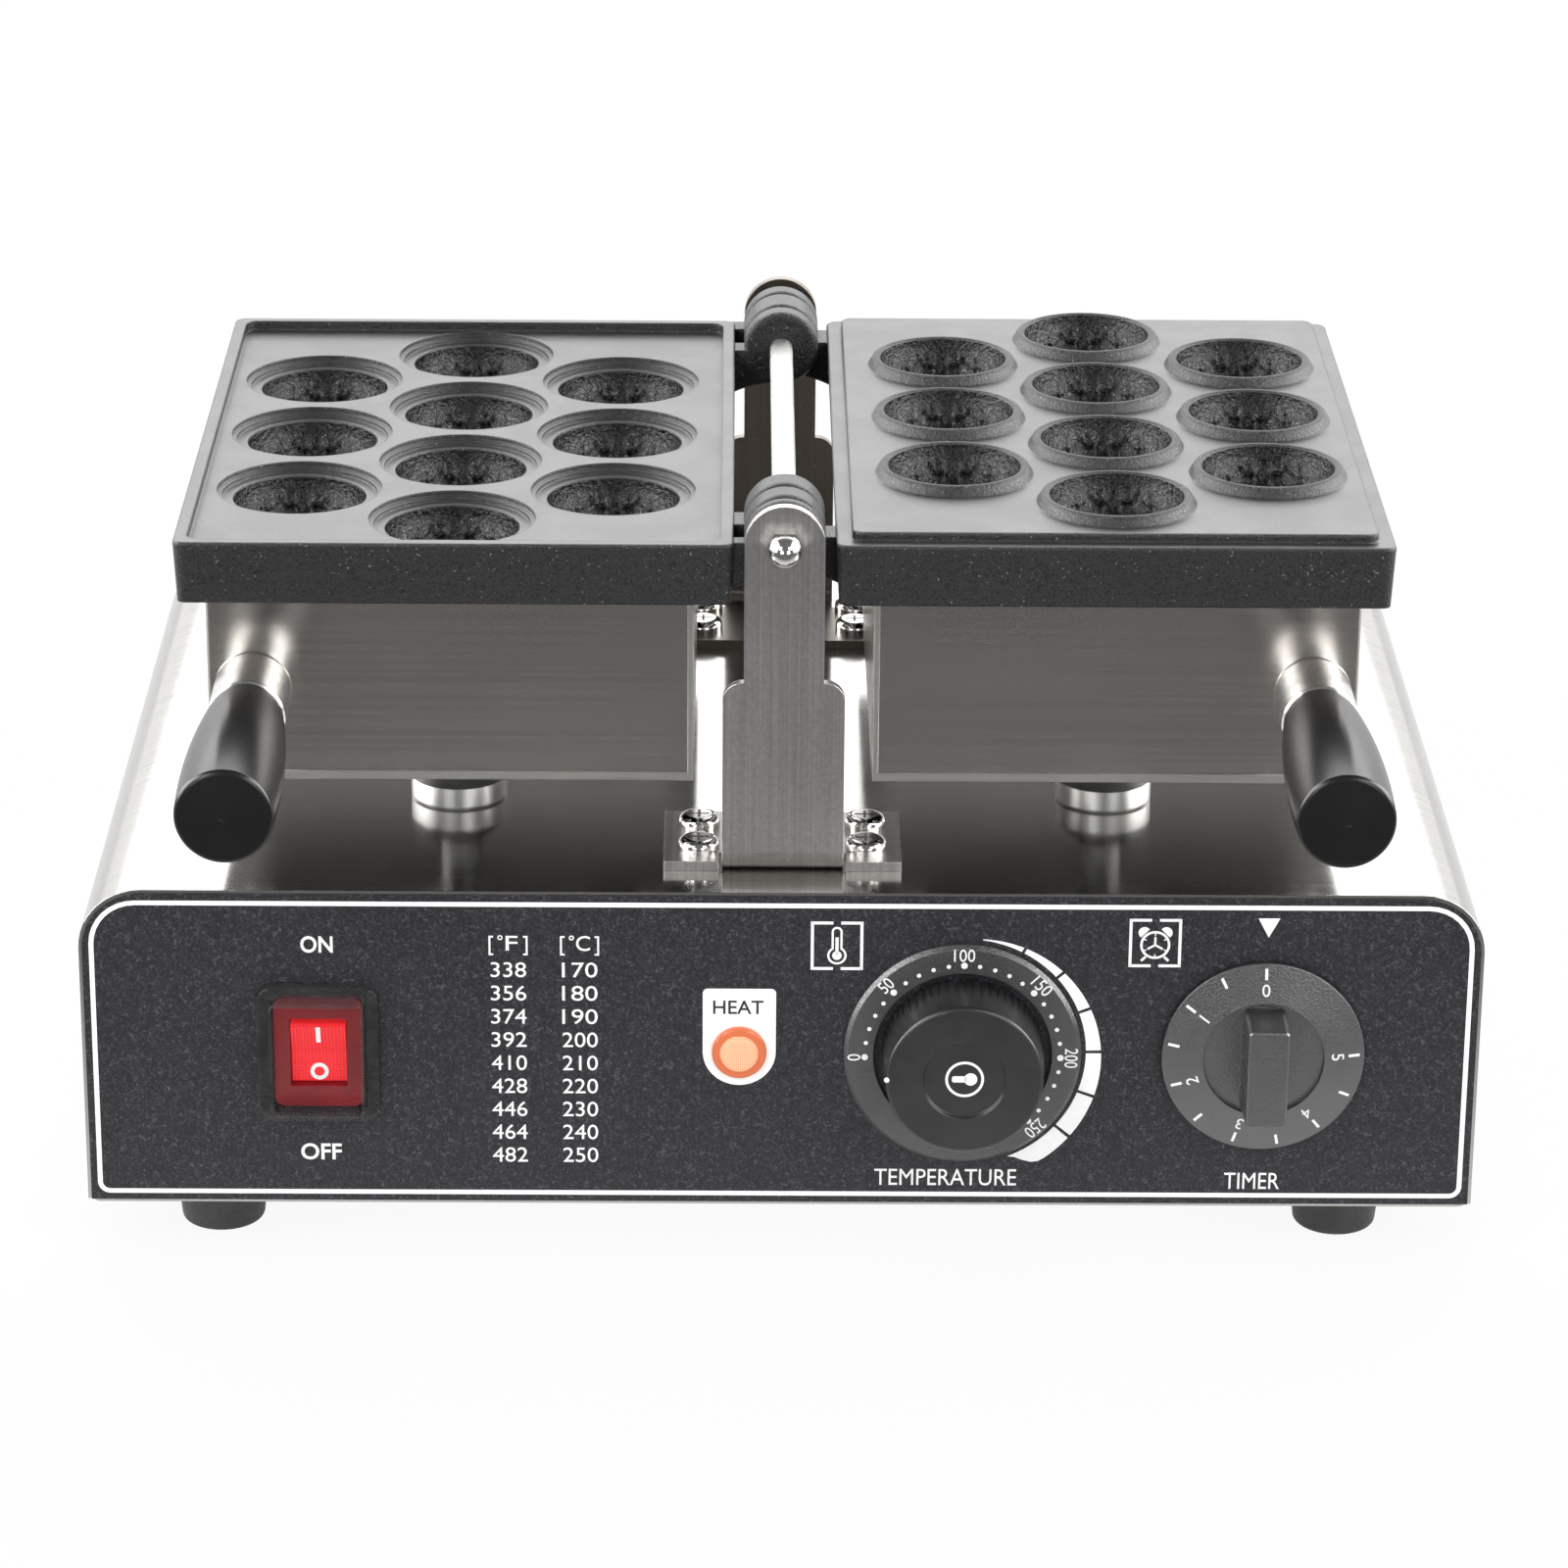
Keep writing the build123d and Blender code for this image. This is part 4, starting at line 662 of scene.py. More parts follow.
# The flange's glow is painted light.
FLANGE_RED = Moulding("flange_red", base=(0.17, 0.004, 0.007), roughness=0.16, coat=0.4, glow=0.12)
ROCKER_RED = LitLens(
    "rocker_red", base=(0.95, 0.030, 0.038), lines=(0.66, 0.012, 0.018), pitch=1.0, glow=0.34
)
# The bezel's glow is painted light.
LAMP_RING = Moulding("lamp_ring", base=(0.70, 0.17, 0.07), roughness=0.18, coat=0.3, glow=0.2)
LENS = LitLens("lamp_lens_glow")
FIBRE = Fibre("fibre_board")
GLAZE = Moulding("ceramic_glaze", base=(0.80, 0.79, 0.74), roughness=0.22, grain_depth=0.004, coat=0.3)


# Drawing meshes


@dataclass
class Draft:
    """A mesh being drawn, in millimetres."""

    points: list[Vector] = field(default_factory=list)
    faces: list[tuple[int, ...]] = field(default_factory=list)

    def add(self, points: list[Vector], faces: list[tuple[int, ...]]) -> None:
        """Add points, and the faces that count from the first of them."""
        start = len(self.points)
        self.points.extend(points)
        self.faces.extend(tuple(start + index for index in face) for face in faces)

    def rows(self, rows: list[list[Vector]], closed: bool) -> None:
        """Join rows of points into a sheet of quads.

        Args:
            rows: Rows with as many points each.
            closed: Whether each row runs round and meets itself.
        """
        count = len(rows[0])
        faces = []
        for start in range(0, count * (len(rows) - 1), count):
            above = start + count
            for spot in range(count if closed else count - 1):
                after = (spot + 1) % count
                faces.append((start + spot, start + after, above + after, above + spot))
        self.add([point for row in rows for point in row], faces)

    def piece(
        self, name: str, finish: Finish, body: str, slot: str | None = None, smooth: bool = False
    ) -> Piece:
        """Make the draft a piece of the machine.

        Args:
            name: The piece's name.
            finish: Its surface.
            body: The body that it moves with.
            slot: Not used.
            smooth: Whether its gentle bends are shaded round.

        Returns:
            The new object.
        """
        mesh = bpy.data.meshes.new(name)
        mesh.from_pydata([point * MM for point in self.points], [], self.faces)
        mesh.validate()
        mesh.polygons.foreach_set("use_smooth", [smooth] * len(mesh.polygons))
        if smooth:
            mesh.set_sharp_from_angle(angle=math.radians(40))
        mesh.materials.append(finish.material())
        piece = bpy.data.objects.new(name, mesh)
        bpy.context.scene.collection.objects.link(piece)
        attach(piece, body)
        return piece


def polar(centre: Spot, reach: float, turn: float) -> Spot:
    """The spot at a distance from a centre, its direction in degrees from the right."""
    angle = math.radians(turn)
    return (centre[0] + reach * math.cos(angle), centre[1] + reach * math.sin(angle))


def arc(centre: Spot, radius: float, start: float, end: float, steps: int) -> Outline:
    """Points along a round stretch, one more than its steps, from one direction to another."""
    return [polar(centre, radius, start + (end - start) * step / steps) for step in range(steps + 1)]


def ring(centre: Spot, radius: float, steps: int = 40) -> Outline:
    """A closed round outline, its first point not repeated."""
    return arc(centre, radius, 0, 360 * (steps - 1) / steps, steps - 1)


def rounded_box(low: Spot, high: Spot, top: float, bottom: float, steps: int = 8) -> Outline:
    """A rectangle with round corners.

    Args:
        low: Its lower left corner.
        high: Its upper right corner.
        top: The radius of its two upper corners.
        bottom: The radius of its two lower corners.
        steps: How many parts each corner has.

    Returns:
        Its outline, counter-clockwise.
    """
    return [
        *arc((high[0] - bottom, low[1] + bottom), bottom, -90, 0, steps),
        *arc((high[0] - top, high[1] - top), top, 0, 90, steps),
        *arc((low[0] + top, high[1] - top), top, 90, 180, steps),
        *arc((low[0] + bottom, low[1] + bottom), bottom, 180, 270, steps),
    ]


@dataclass(frozen=True)
class Lettering:
    """A word in plain letters, drawn to a height and a width."""

    text: str
    height: float
    width: float | None = None
    weight: float = 0.0
    turn: float = 0.0

    @staticmethod
    def flat(text: str, weight: float) -> bpy.types.Mesh:
        """The word as a mesh that is 1 unit deep, at the size that the font gives."""
        curve = bpy.data.curves.new("word", "FONT")
        curve.body = text
        curve.extrude = 0.5
        curve.offset = weight
        curve.resolution_u = 4
        holder = bpy.data.objects.new("word", curve)
        mesh = bpy.data.meshes.new_from_object(holder)
        bpy.data.objects.remove(holder)
        bpy.data.curves.remove(curve)
        return mesh

    def solid(self, centre: Spot) -> tuple[list[Vector], list[tuple[int, ...]]]:
        """The word's points as (across, up, depth from 0 to 1), and its faces.

        Args:
            centre: Where the middle of its capitals goes.

        Returns:
            Points and faces.
        """
        capital = self.flat("H", self.weight)
        tall = max(vertex.co.y for vertex in capital.vertices)
        bpy.data.meshes.remove(capital)
        mesh = self.flat(self.text, self.weight)
        across = [vertex.co.x for vertex in mesh.vertices]
        left, right = min(across), max(across)
        scale_up = self.height / tall
        scale_across = scale_up if self.width is None else self.width / (right - left)
        turn = math.radians(self.turn)
        cos, sin = math.cos(turn), math.sin(turn)
        points = []
        for vertex in mesh.vertices:
            x = (vertex.co.x - (left + right) / 2) * scale_across
            y = vertex.co.y * scale_up - self.height / 2
            spot = (centre[0] + x * cos - y * sin, centre[1] + x * sin + y * cos)
            points.append(Vector((*spot, vertex.co.z + 0.5)))
        faces = [tuple(face.vertices) for face in mesh.polygons]
        bpy.data.meshes.remove(mesh)
        return points, faces


@dataclass
class Print:
    """Ink on a surface: outlines and words laid on it with a small thickness."""

    surface: Surface
    thickness: float = 0.09
    sink: float = 0.02
    draft: Draft = field(default_factory=Draft)

    def at(self, spot: Spot, share: float) -> Vector:
        """The point over a spot of the surface, share running from its back to its face."""
        return self.surface(spot[0], spot[1], share * (self.thickness + self.sink) - self.sink)

    def patch(self, outline: Outline) -> None:
        """Fill a counter-clockwise outline."""
        count = len(outline)
        points = [self.at(spot, share) for share in (0.0, 1.0) for spot in outline]
        walls = [(i, (i + 1) % count, count + (i + 1) % count, count + i) for i in range(count)]
        front = tuple(range(count, 2 * count))
        back = tuple(reversed(range(count)))
        self.draft.add(points, [*walls, front, back])

    def band(self, outer: Outline, inner: Outline) -> None:
        """Fill between two closed outlines with as many points each."""
        order = ((outer, 1.0), (inner, 1.0), (inner, 0.0), (outer, 0.0), (outer, 1.0))
        self.draft.rows([[self.at(spot, share) for spot in loop] for loop, share in order], closed=True)

    def stroke(self, start: Spot, end: Spot, width: float) -> None:
        """A straight line with square ends."""
        along = Vector((end[0] - start[0], end[1] - start[1])).normalized()
        side = Vector((-along.y, along.x)) * width / 2
        order = ((start, -1), (end, -1), (end, 1), (start, 1))
        self.patch([(x + way * side.x, y + way * side.y) for (x, y), way in order])

    def disc(self, centre: Spot, radius: float, steps: int = 20) -> None:
        """A filled circle."""
        self.patch(ring(centre, radius, steps))

    def hoop(self, centre: Spot, outer: float, inner: float, steps: int = 40) -> None:
        """A circle's line."""
        self.band(ring(centre, outer, steps), ring(centre, inner, steps))

    def word(self, lettering: Lettering, centre: Spot) -> None:
        """A word round its centre."""
        points, faces = lettering.solid(centre)
        self.draft.add([self.at((p.x, p.y), p.z) for p in points], faces)


def facing_front(x: float, y: float, z: float) -> Surface:
    """A flat surface that faces the front, its spots counted from a place on it."""
    return lambda across, up, rise: Vector((x + across, y - rise, z + up))


def dress(finish: Finish, *nodes: str) -> None:
    """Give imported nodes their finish."""
    for node in nodes:
        piece = frame["nodes"][node]
        if not piece.material_slots:
            piece.data.materials.append(None)
        for slot in piece.material_slots:
            slot.material = finish.material()


# Sub-assemblies


@dataclass
class Housing:
    """The folded base with its panels, feet, gland and what is fixed inside it."""

    def build(self) -> list[Piece]:
        """Dress the base."""
        dress(WRAP_STEEL, "housing_shell")
        dress(PANEL_STEEL, "front_panel", "back_panel", "bottom_plate")
        dress(FILM, "control_overlay")
        dress(BRIGHT_STEEL, "bottom_screws", "foot_screws", "base_nuts", "device_screws", "thermostat_body")
        dress(RUBBER, "rubber_feet", "lead_grommets")
        dress(CASE_BLACK, "cable_gland", "gland_nut", "timer_body", "lamp_body")
        dress(GLAZE, "terminal_block")
        return []


@dataclass
class OverlayPrint:
    """Everything printed on the control panel, placed from the film's lower edge and middle.

    A line of words is its text and width, and then its place: its rise, after its x if it isn't
    centred on the switch.
    """

    body: str = "base"
    border_width: float = 1.4
    border_inset: float = 2.0
    border_top_round: float = 13.5
    border_bottom_round: float = 3.6
    capital: float = 4.9
    switch_lines: tuple[tuple[str, float, float], ...] = (("ON", 9.2, 80.3), ("OFF", 11.7, 15.5))
    bold: float = 0.018
    knob_capital: float = 5.1
    knob_lines: tuple[tuple[str, float, float, float], ...] = (
        ("TEMPERATURE", 41.0, 47.6, 8.1),
        ("TIMER", 16.0, 136.2, 7.3),
    )
    pointer_width: float = 6.2
    pointer_offset: float = 0.4
    pointer_rises: Spot = (83.7, 89.6)
    row_height: float = 4.5
    row_pitch: float = 7.25
    first_row: float = 72.7
    header_gap: float = 8.2
    number_width: float = 10.1
    bracket_offset: float = 4.9
    bracket_width: float = 1.3
    degree_offset: Spot = (-2.3, 1.7)
    degree_outer: float = 0.75
    degree_inner: float = 0.4
    unit_offset: float = 1.0
    celsius_x: float = -57.6
    fahrenheit_x: float = -77.9
    first_celsius: int = 170
    rows: int = 9
    heat_half: float = 10.45
    heat_top: float = 67.1
    heat_round: float = 1.4
    heat_thickness: float = 0.16
    heat_capital: float = 4.1
    heat_width: float = 14.4
    heat_bold: float = 0.008
    heat_offset: float = -0.3
    heat_rise: float = 61.4
    thermometer_x: float = 15.55
    clock_x: float = 106.0
    icon_rise: float = 80.55
    icon_size: float = 14.9
    icon_line: float = 0.85
    icon_gap: float = 2.2
    gauge_gap: float = 0.9
    gauge_start: float = 81.5
    gauge_span: float = 20.4
    gauge_tail: float = 6.0
    gauge_spans: int = 7
    gauge_inner: float = 35.4
    gauge_growth: float = 5.4
    gauge_thinnest: float = 0.25
    gauge_growing: float = 150.0
    gauge_swell: float = 1.8
    gauge_taper: float = 5.6
    gauge_steps: int = 10

    def __post_init__(self) -> None:
        """Read where the film lies."""
        self.low, self.high = corners("control_overlay")
        self.middle_x = (self.low.x + self.high.x) / 2
        self.face = facing_front(self.middle_x, self.low.y, self.low.z)

    def over(self, node: str) -> Spot:
        """Where a node's middle lies on the film."""
        centre = middle(node)
        return (centre.x - self.middle_x, centre.z - self.low.z)

    def build(self) -> list[Piece]:
        """Print the panel, one piece for each group of marks."""
        groups = {
            "border": self.border,
            "switch_words": self.switch_words,
            "temperature_table": self.temperature_table,
            "heat_plate": self.heat_plate,
            "heat_word": self.heat_word,
            "thermometer": self.thermometer,
            "alarm_clock": self.alarm_clock,
            "gauge": self.gauge,
            "control_words": self.control_words,
            "pointer": self.pointer,
        }
        return [self.printed(name, draw) for name, draw in groups.items()]

    def printed(self, name: str, draw: Callable[[Print], None]) -> Piece:
        """Draw a group of marks, white but for the word on the white field, as a piece of the base."""
        black = name == "heat_word"
        ink = Print(self.face, self.heat_thickness, 0.0) if black else Print(self.face)
        draw(ink)
        return ink.draft.piece(f"overlay_{name}", BLACK_INK if black else WHITE_INK, self.body)

    def border(self, ink: Print) -> None:
        """The line round the panel."""
        half = (self.high.x - self.low.x) / 2
        top = self.high.z - self.low.z
        loops = []
        for deeper in (0.0, self.border_width):
            inset = self.border_inset + deeper
            rounds = (self.border_top_round - deeper, self.border_bottom_round - deeper)
            loops.append(rounded_box((-half + inset, inset), (half - inset, top - inset), *rounds))
        ink.band(*loops)

    def switch_words(self, ink: Print) -> None:
        """The words over and under the switch."""
        x, _ = self.over("switch_hood")
        for text, width, rise in self.switch_lines:
            ink.word(Lettering(text, self.capital, width, weight=self.bold), (x, rise))

    def temperature_table(self, ink: Print) -> None:
        """Oven settings in both degree scales, one row for each ten degrees Celsius."""
        header = self.first_row + self.header_gap
        for x, letter, width in ((self.fahrenheit_x, "F", 3.4), (self.celsius_x, "C", 4.0)):
            for side, sign in ((-1, "["), (1, "]")):
                bracket = Lettering(sign, self.row_height, self.bracket_width)
                ink.word(bracket, (x + side * self.bracket_offset, header))
            degree = (x + self.degree_offset[0], header + self.degree_offset[1])
            ink.hoop(degree, self.degree_outer, self.degree_inner, 16)
            ink.word(Lettering(letter, self.row_height, width), (x + self.unit_offset, header))
        for row in range(self.rows):
            celsius = self.first_celsius + 10 * row
            rise = self.first_row - row * self.row_pitch
            for x, degrees in ((self.fahrenheit_x, round(celsius * 1.8 + 32)), (self.celsius_x, celsius)):
                ink.word(Lettering(str(degrees), self.row_height, self.number_width), (x, rise))

    def heat_plate(self, ink: Print) -> None:
        """The white field behind the lamp, square above and round below."""
        x, rise = self.over("lamp_lens")
        low, high = (x - self.heat_half, rise), (x + self.heat_half, self.heat_top)
        top = rounded_box(low, high, self.heat_round, 0.1)
        upper = [spot for spot in top if spot[1] > rise + 1]
        ink.patch([*arc((x, rise), self.heat_half, 180, 360, 24), *upper])

    def heat_word(self, ink: Print) -> None:
        """HEAT, on the white field."""
        x, _ = self.over("lamp_lens")
        heat = Lettering("HEAT", self.heat_capital, self.heat_width, weight=self.heat_bold)
        ink.word(heat, (x + self.heat_offset, self.heat_rise))

    def icon_frame(self, ink: Print, x: float, rise: float) -> None:
        """A square of line with a gap at the middle of its top and bottom."""
        half = self.icon_size / 2
        line = self.icon_line
        for side in (-1, 1):
            outer = x + side * (half - line / 2)
            inner = x + side * self.icon_gap / 2
            ink.stroke((outer, rise - half), (outer, rise + half), line)
            for end in (-1, 1):
                level = rise + end * (half - line / 2)
                ink.stroke((min(outer, inner), level), (max(outer, inner), level), line)

    def thermometer(self, ink: Print) -> None:
        """A bulb thermometer in its frame."""
        x, rise = self.thermometer_x, self.icon_rise
        self.icon_frame(ink, x, rise)
        bulb, stem, line = 2.75, 1.55, 0.6
        core, thread = 1.35, 0.9
        bulb_rise, thread_rise, tip_rise = rise - 3.0, rise + 2.6, rise + 4.3
        loops = []
        for inset in (0.0, line):
            opening = math.degrees(math.asin((stem - inset) / (bulb - inset)))
            round_bulb = arc((x, bulb_rise), bulb - inset, 90 + opening, 450 - opening, 26)
            loops.append([*round_bulb, *arc((x, tip_rise), stem - inset, 0, 180, 12)])
        ink.band(*loops)
        ink.disc((x, bulb_rise), core)
        ink.stroke((x, bulb_rise), (x, thread_rise), thread)

    def alarm_clock(self, ink: Print) -> None:
        """A clock with two bells in its frame."""
        x, rise = self.clock_x, self.icon_rise + 1.3
        self.icon_frame(ink, x, rise)
        face = (x, rise - 0.6)
        rim_outer, rim_inner = 4.3, 3.6
        hand, hand_width = 2.5, 0.6
        tick_inner, tick_outer, tick_width = 2.9, 3.7, 0.35
        bell, bell_aside, bell_up, bell_half = 1.75, 3.1, 3.8, 100
        leg_top, leg_end, leg_width = (2.6, -3.6), (3.9, -4.9), 0.7
        ink.hoop(face, rim_outer, rim_inner)
        for turn in (90, 210, 330):
            ink.stroke(face, polar(face, hand, turn), hand_width)
        for turn in range(30, 390, 60):
            ink.stroke(polar(face, tick_inner, turn), polar(face, tick_outer, turn), tick_width)
        for side in (-1, 1):
            lean = 90 - side * 45
            centre = (x + side * bell_aside, face[1] + bell_up)
            ink.patch(arc(centre, bell, lean - bell_half, lean + bell_half, 14))
            ends = [(x + side * aside, face[1] + up) for aside, up in (leg_top, leg_end)]
            ink.stroke(*ends, leg_width)

    def gauge(self, ink: Print) -> None:
        """The swelling band round the thermostat, in seven parts."""
        centre = self.over("thermostat_scale")
        gap = math.degrees(self.gauge_gap / self.gauge_inner)
        steps = self.gauge_steps
        for part in range(self.gauge_spans):
            last = part == self.gauge_spans - 1
            start = self.gauge_start - part * self.gauge_span
            end = start - self.gauge_span - (self.gauge_tail if last else -gap)
            outer, inner = [], []
            for step in range(steps + 1):
                turn = start + (end - start) * step / steps
                growth = 1 - (1 - (self.gauge_start - turn) / self.gauge_growing) ** self.gauge_swell
                reach = self.gauge_inner + self.gauge_thinnest + self.gauge_growth * growth
                if last:
                    reach -= self.gauge_taper * ease(step / steps, 0.45, 1.0) ** 2
                outer.append(polar(centre, reach, turn))
                inner.append(polar(centre, self.gauge_inner, turn))
            ink.patch([*reversed(outer), *inner])

    def control_words(self, ink: Print) -> None:
        """The words under the two knobs."""
        for text, width, x, rise in self.knob_lines:
            ink.word(Lettering(text, self.knob_capital, width), (x, rise))

    def pointer(self, ink: Print) -> None:
        """The timer's mark, a triangle that points down at its dial."""
        x, _ = self.over("timer_knob")
        half = self.pointer_width / 2
        tip_x = x + self.pointer_offset
        low, high = self.pointer_rises
        ink.patch([(tip_x - half, high), (tip_x, low), (tip_x + half, high)])


@dataclass
class Switch:
    """The rocker switch under its clear hood."""

    body: str = "base"
    rocker_body: str = "rocker"
    pivot_depth: float = 3.0
    tilt: float = 10.0
    face_half: float = 9.2
    face_reach: float = 4.4
    notch: float = 1.4
    bar_low: float = 3.5
    bar_high: float = 9.15
    bar_width: float = 1.3
    ring_place: float = -6.2
    ring_outer: float = 2.6
    ring_inner: float = 1.5

    def build(self) -> list[Piece]:
        """Dress the switch and print its rocker."""
        hood = middle("switch_hood")
        flange_low, flange_high = corners("switch_body")
        dress(FLANGE_RED, "switch_body")
        dress(ROCKER_RED, "switch_rocker")
        skin = ClearSkin(
            "hood_skin",
            centre=(hood.x, hood.z),
            window=(flange_high.x - flange_low.x, flange_high.z - flange_low.z),
        )
        dress(skin, "switch_hood")
        return [self.marks(hood)]

    def on_face(self, hood: Vector) -> Surface:
        """The rocker's two sloping faces, counted across and up from its pivot."""
        overlay_y = corners("control_overlay")[0].y
        turn = math.radians(self.tilt)
        pivot = Vector((hood.x, overlay_y + self.pivot_depth, hood.z))
        up = Vector((0, -math.sin(turn), math.cos(turn)))
        out = Vector((0, -math.cos(turn), -math.sin(turn)))

        def point(across: float, height: float, rise: float) -> Vector:
            reach = self.face_reach - self.notch * (1 - abs(height) / self.face_half)
            return pivot + Vector((across, 0, 0)) + up * height + out * (reach + rise)

        return point

    def marks(self, hood: Vector) -> Piece:
        """The bar and the ring on the rocker."""
        ink = Print(self.on_face(hood), thickness=0.12)
        ink.stroke((0, self.bar_low), (0, self.bar_high), self.bar_width)
        ink.hoop((0, self.ring_place), self.ring_outer, self.ring_inner, 28)
        return ink.draft.piece("rocker_marks", WHITE_INK, self.rocker_body)


@dataclass
class HeatLamp:
    """The heat lamp's bezel and lens."""

    def build(self) -> list[Piece]:
        """Dress the lamp."""
        dress(LAMP_RING, "lamp_bezel")
        dress(LENS, "lamp_lens")
        return []


@dataclass
class Thermostat:
    """The fixed scale ring and the knob that turns in it."""

    body: str = "base"
    knob_body: str = "thermostat_control"
    dot_circle: float = 28.0
    number_circle: float = 31.1
    number_height: float = 3.7
    digit_width: float = 2.0
    small_dot: float = 0.62
    large_dot: float = 0.95
    top_reading: int = 100
    sweep_for_fifty: float = 45.6
    last_reading: int = 250
    dish_depth: float = 1.0
    icon_outer: float = 5.5
    icon_inner: float = 4.75
    icon_bulb: float = 1.9
    icon_bulb_x: float = 1.7
    icon_stem: Spot = (-3.6, 0.6)
    icon_stem_half: float = 0.95
    dot_inset: float = 1.35
    dot_radius: float = 0.85
    dot_sink: float = 0.25
    dot_height: float = 0.45
    dot_points: int = 16

    def build(self) -> list[Piece]:
        """Dress the thermostat, number its scale and print its knob."""
        dress(DIAL_BLACK, "thermostat_scale")
        dress(KNOB_BLACK, "thermostat_knob")
        dress(BRIGHT_STEEL, "thermostat_shaft")
        return [self.scale(), self.knob_icon(), self.knob_dot()]

    def scale(self) -> Piece:
        """Dots for every ten degrees, and a number at every fifty."""
        low, _ = corners("thermostat_scale")
        dial = middle("thermostat_scale")
        ink = Print(facing_front(dial.x, low.y, dial.z))
        for reading in range(0, self.last_reading + 10, 10):
            turn = 90 - (reading - self.top_reading) / 50 * self.sweep_for_fifty
            fifty = reading % 50 == 0
            ink.disc(polar(CENTRE, self.dot_circle, turn), self.large_dot if fifty else self.small_dot, 16)
            if fifty:
                text = str(reading)
                word = Lettering(text, self.number_height, self.digit_width * len(text), turn=turn - 90)
                ink.word(word, polar(CENTRE, self.number_circle, turn))
        return ink.draft.piece("thermostat_scale_print", WHITE_INK, self.body)

    def knob_icon(self) -> Piece:
        """A lying thermometer in a ring, in the middle of the knob."""
        low, _ = corners("thermostat_knob")
        knob = middle("thermostat_knob")
        ink = Print(facing_front(knob.x, low.y + self.dish_depth, knob.z))
        ink.hoop(CENTRE, self.icon_outer, self.icon_inner)
        ink.disc((self.icon_bulb_x, 0), self.icon_bulb)
        end, start = self.icon_stem
        half = self.icon_stem_half
        ink.patch(rounded_box((end, -half), (start, half), 0.6, 0.6, 4))
        return ink.draft.piece("thermostat_knob_icon", WHITE_INK, self.knob_body)

    def knob_dot(self) -> Piece:
        """The knob's pointer dot, on the edge of its face."""
        low, high = corners("thermostat_knob")
        spot = (low.x + self.dot_inset, (low.z + high.z) / 2)
        rows = []
        for level in range(5):
            rise = math.radians(level * 22.0)
            y = low.y + self.dot_sink - self.dot_height * math.sin(rise)
            outline = ring(spot, self.dot_radius * math.cos(rise), self.dot_points)
            rows.append([Vector((x, y, z)) for x, z in outline])
        draft = Draft()
        draft.rows(rows, closed=True)
        draft.add(rows[-1], [tuple(range(self.dot_points))])
        return draft.piece("thermostat_knob_dot", WHITE_INK, self.knob_body, smooth=True)


@dataclass
class Timer:
    """The timer's dial knob, with its numbers running round against the clock."""

    knob_body: str = "timer_control"
    skirt_radius: float = 29.0
    skirt_edge: float = 2.2
    recess_radius: float = 17.3
    recess_edge: float = 4.4
    tick_inner: float = 24.4
    tick_outer: float = 27.6
    tick_width: float = 0.8
    number_circle: float = 21.3
    number_height: float = 3.5
    hour_sweep: float = 54.4
    hours: int = 5

    def build(self) -> list[Piece]:
        """Dress the timer and number its dial."""
        dress(TIMER_BLACK, "timer_knob")
        dress(BRIGHT_STEEL, "timer_shaft")
        return [self.dial_print()]

    def on_skirt(self) -> Surface:
        """The coned skirt, counted across and up from the dial's middle."""
        overlay_y = corners("control_overlay")[0].y
        dial = middle("timer_knob")

        def point(across: float, up: float, rise: float) -> Vector:
            radius = math.hypot(across, up)
            share = (self.skirt_radius - radius) / (self.skirt_radius - self.recess_radius)
            reach = self.skirt_edge + share * (self.recess_edge - self.skirt_edge)
            return Vector((dial.x + across, overlay_y - reach - rise, dial.z + up))

        return point

    def dial_print(self) -> Piece:
        """A tick for each half and a number for each whole."""
        ink = Print(self.on_skirt())
        for half in range(2 * self.hours + 1):
            turn = 90 + half * self.hour_sweep / 2
            ends = (polar(CENTRE, self.tick_inner, turn), polar(CENTRE, self.tick_outer, turn))
            ink.stroke(*ends, self.tick_width)
            if half % 2 == 0:
                word = Lettering(str(half // 2), self.number_height, turn=turn - 90)
                ink.word(word, polar(CENTRE, self.number_circle, turn))
        return ink.draft.piece("timer_dial_print", WHITE_INK, self.knob_body)


@dataclass
class Hinge:
    """The two bent brackets, their screws and the fixed shaft."""

    def build(self) -> list[Piece]:
        """Dress the hinge."""
        dress(POST_STEEL, "front_hinge_bracket")
        dress(SHADED_REAR_POST_STEEL, "rear_hinge_bracket")
        dress(BRIGHT_STEEL, "bracket_screws", "shaft_nuts")
        dress(SHAFT_STEEL, "hinge_shaft", "shaft_spacer")
        return []


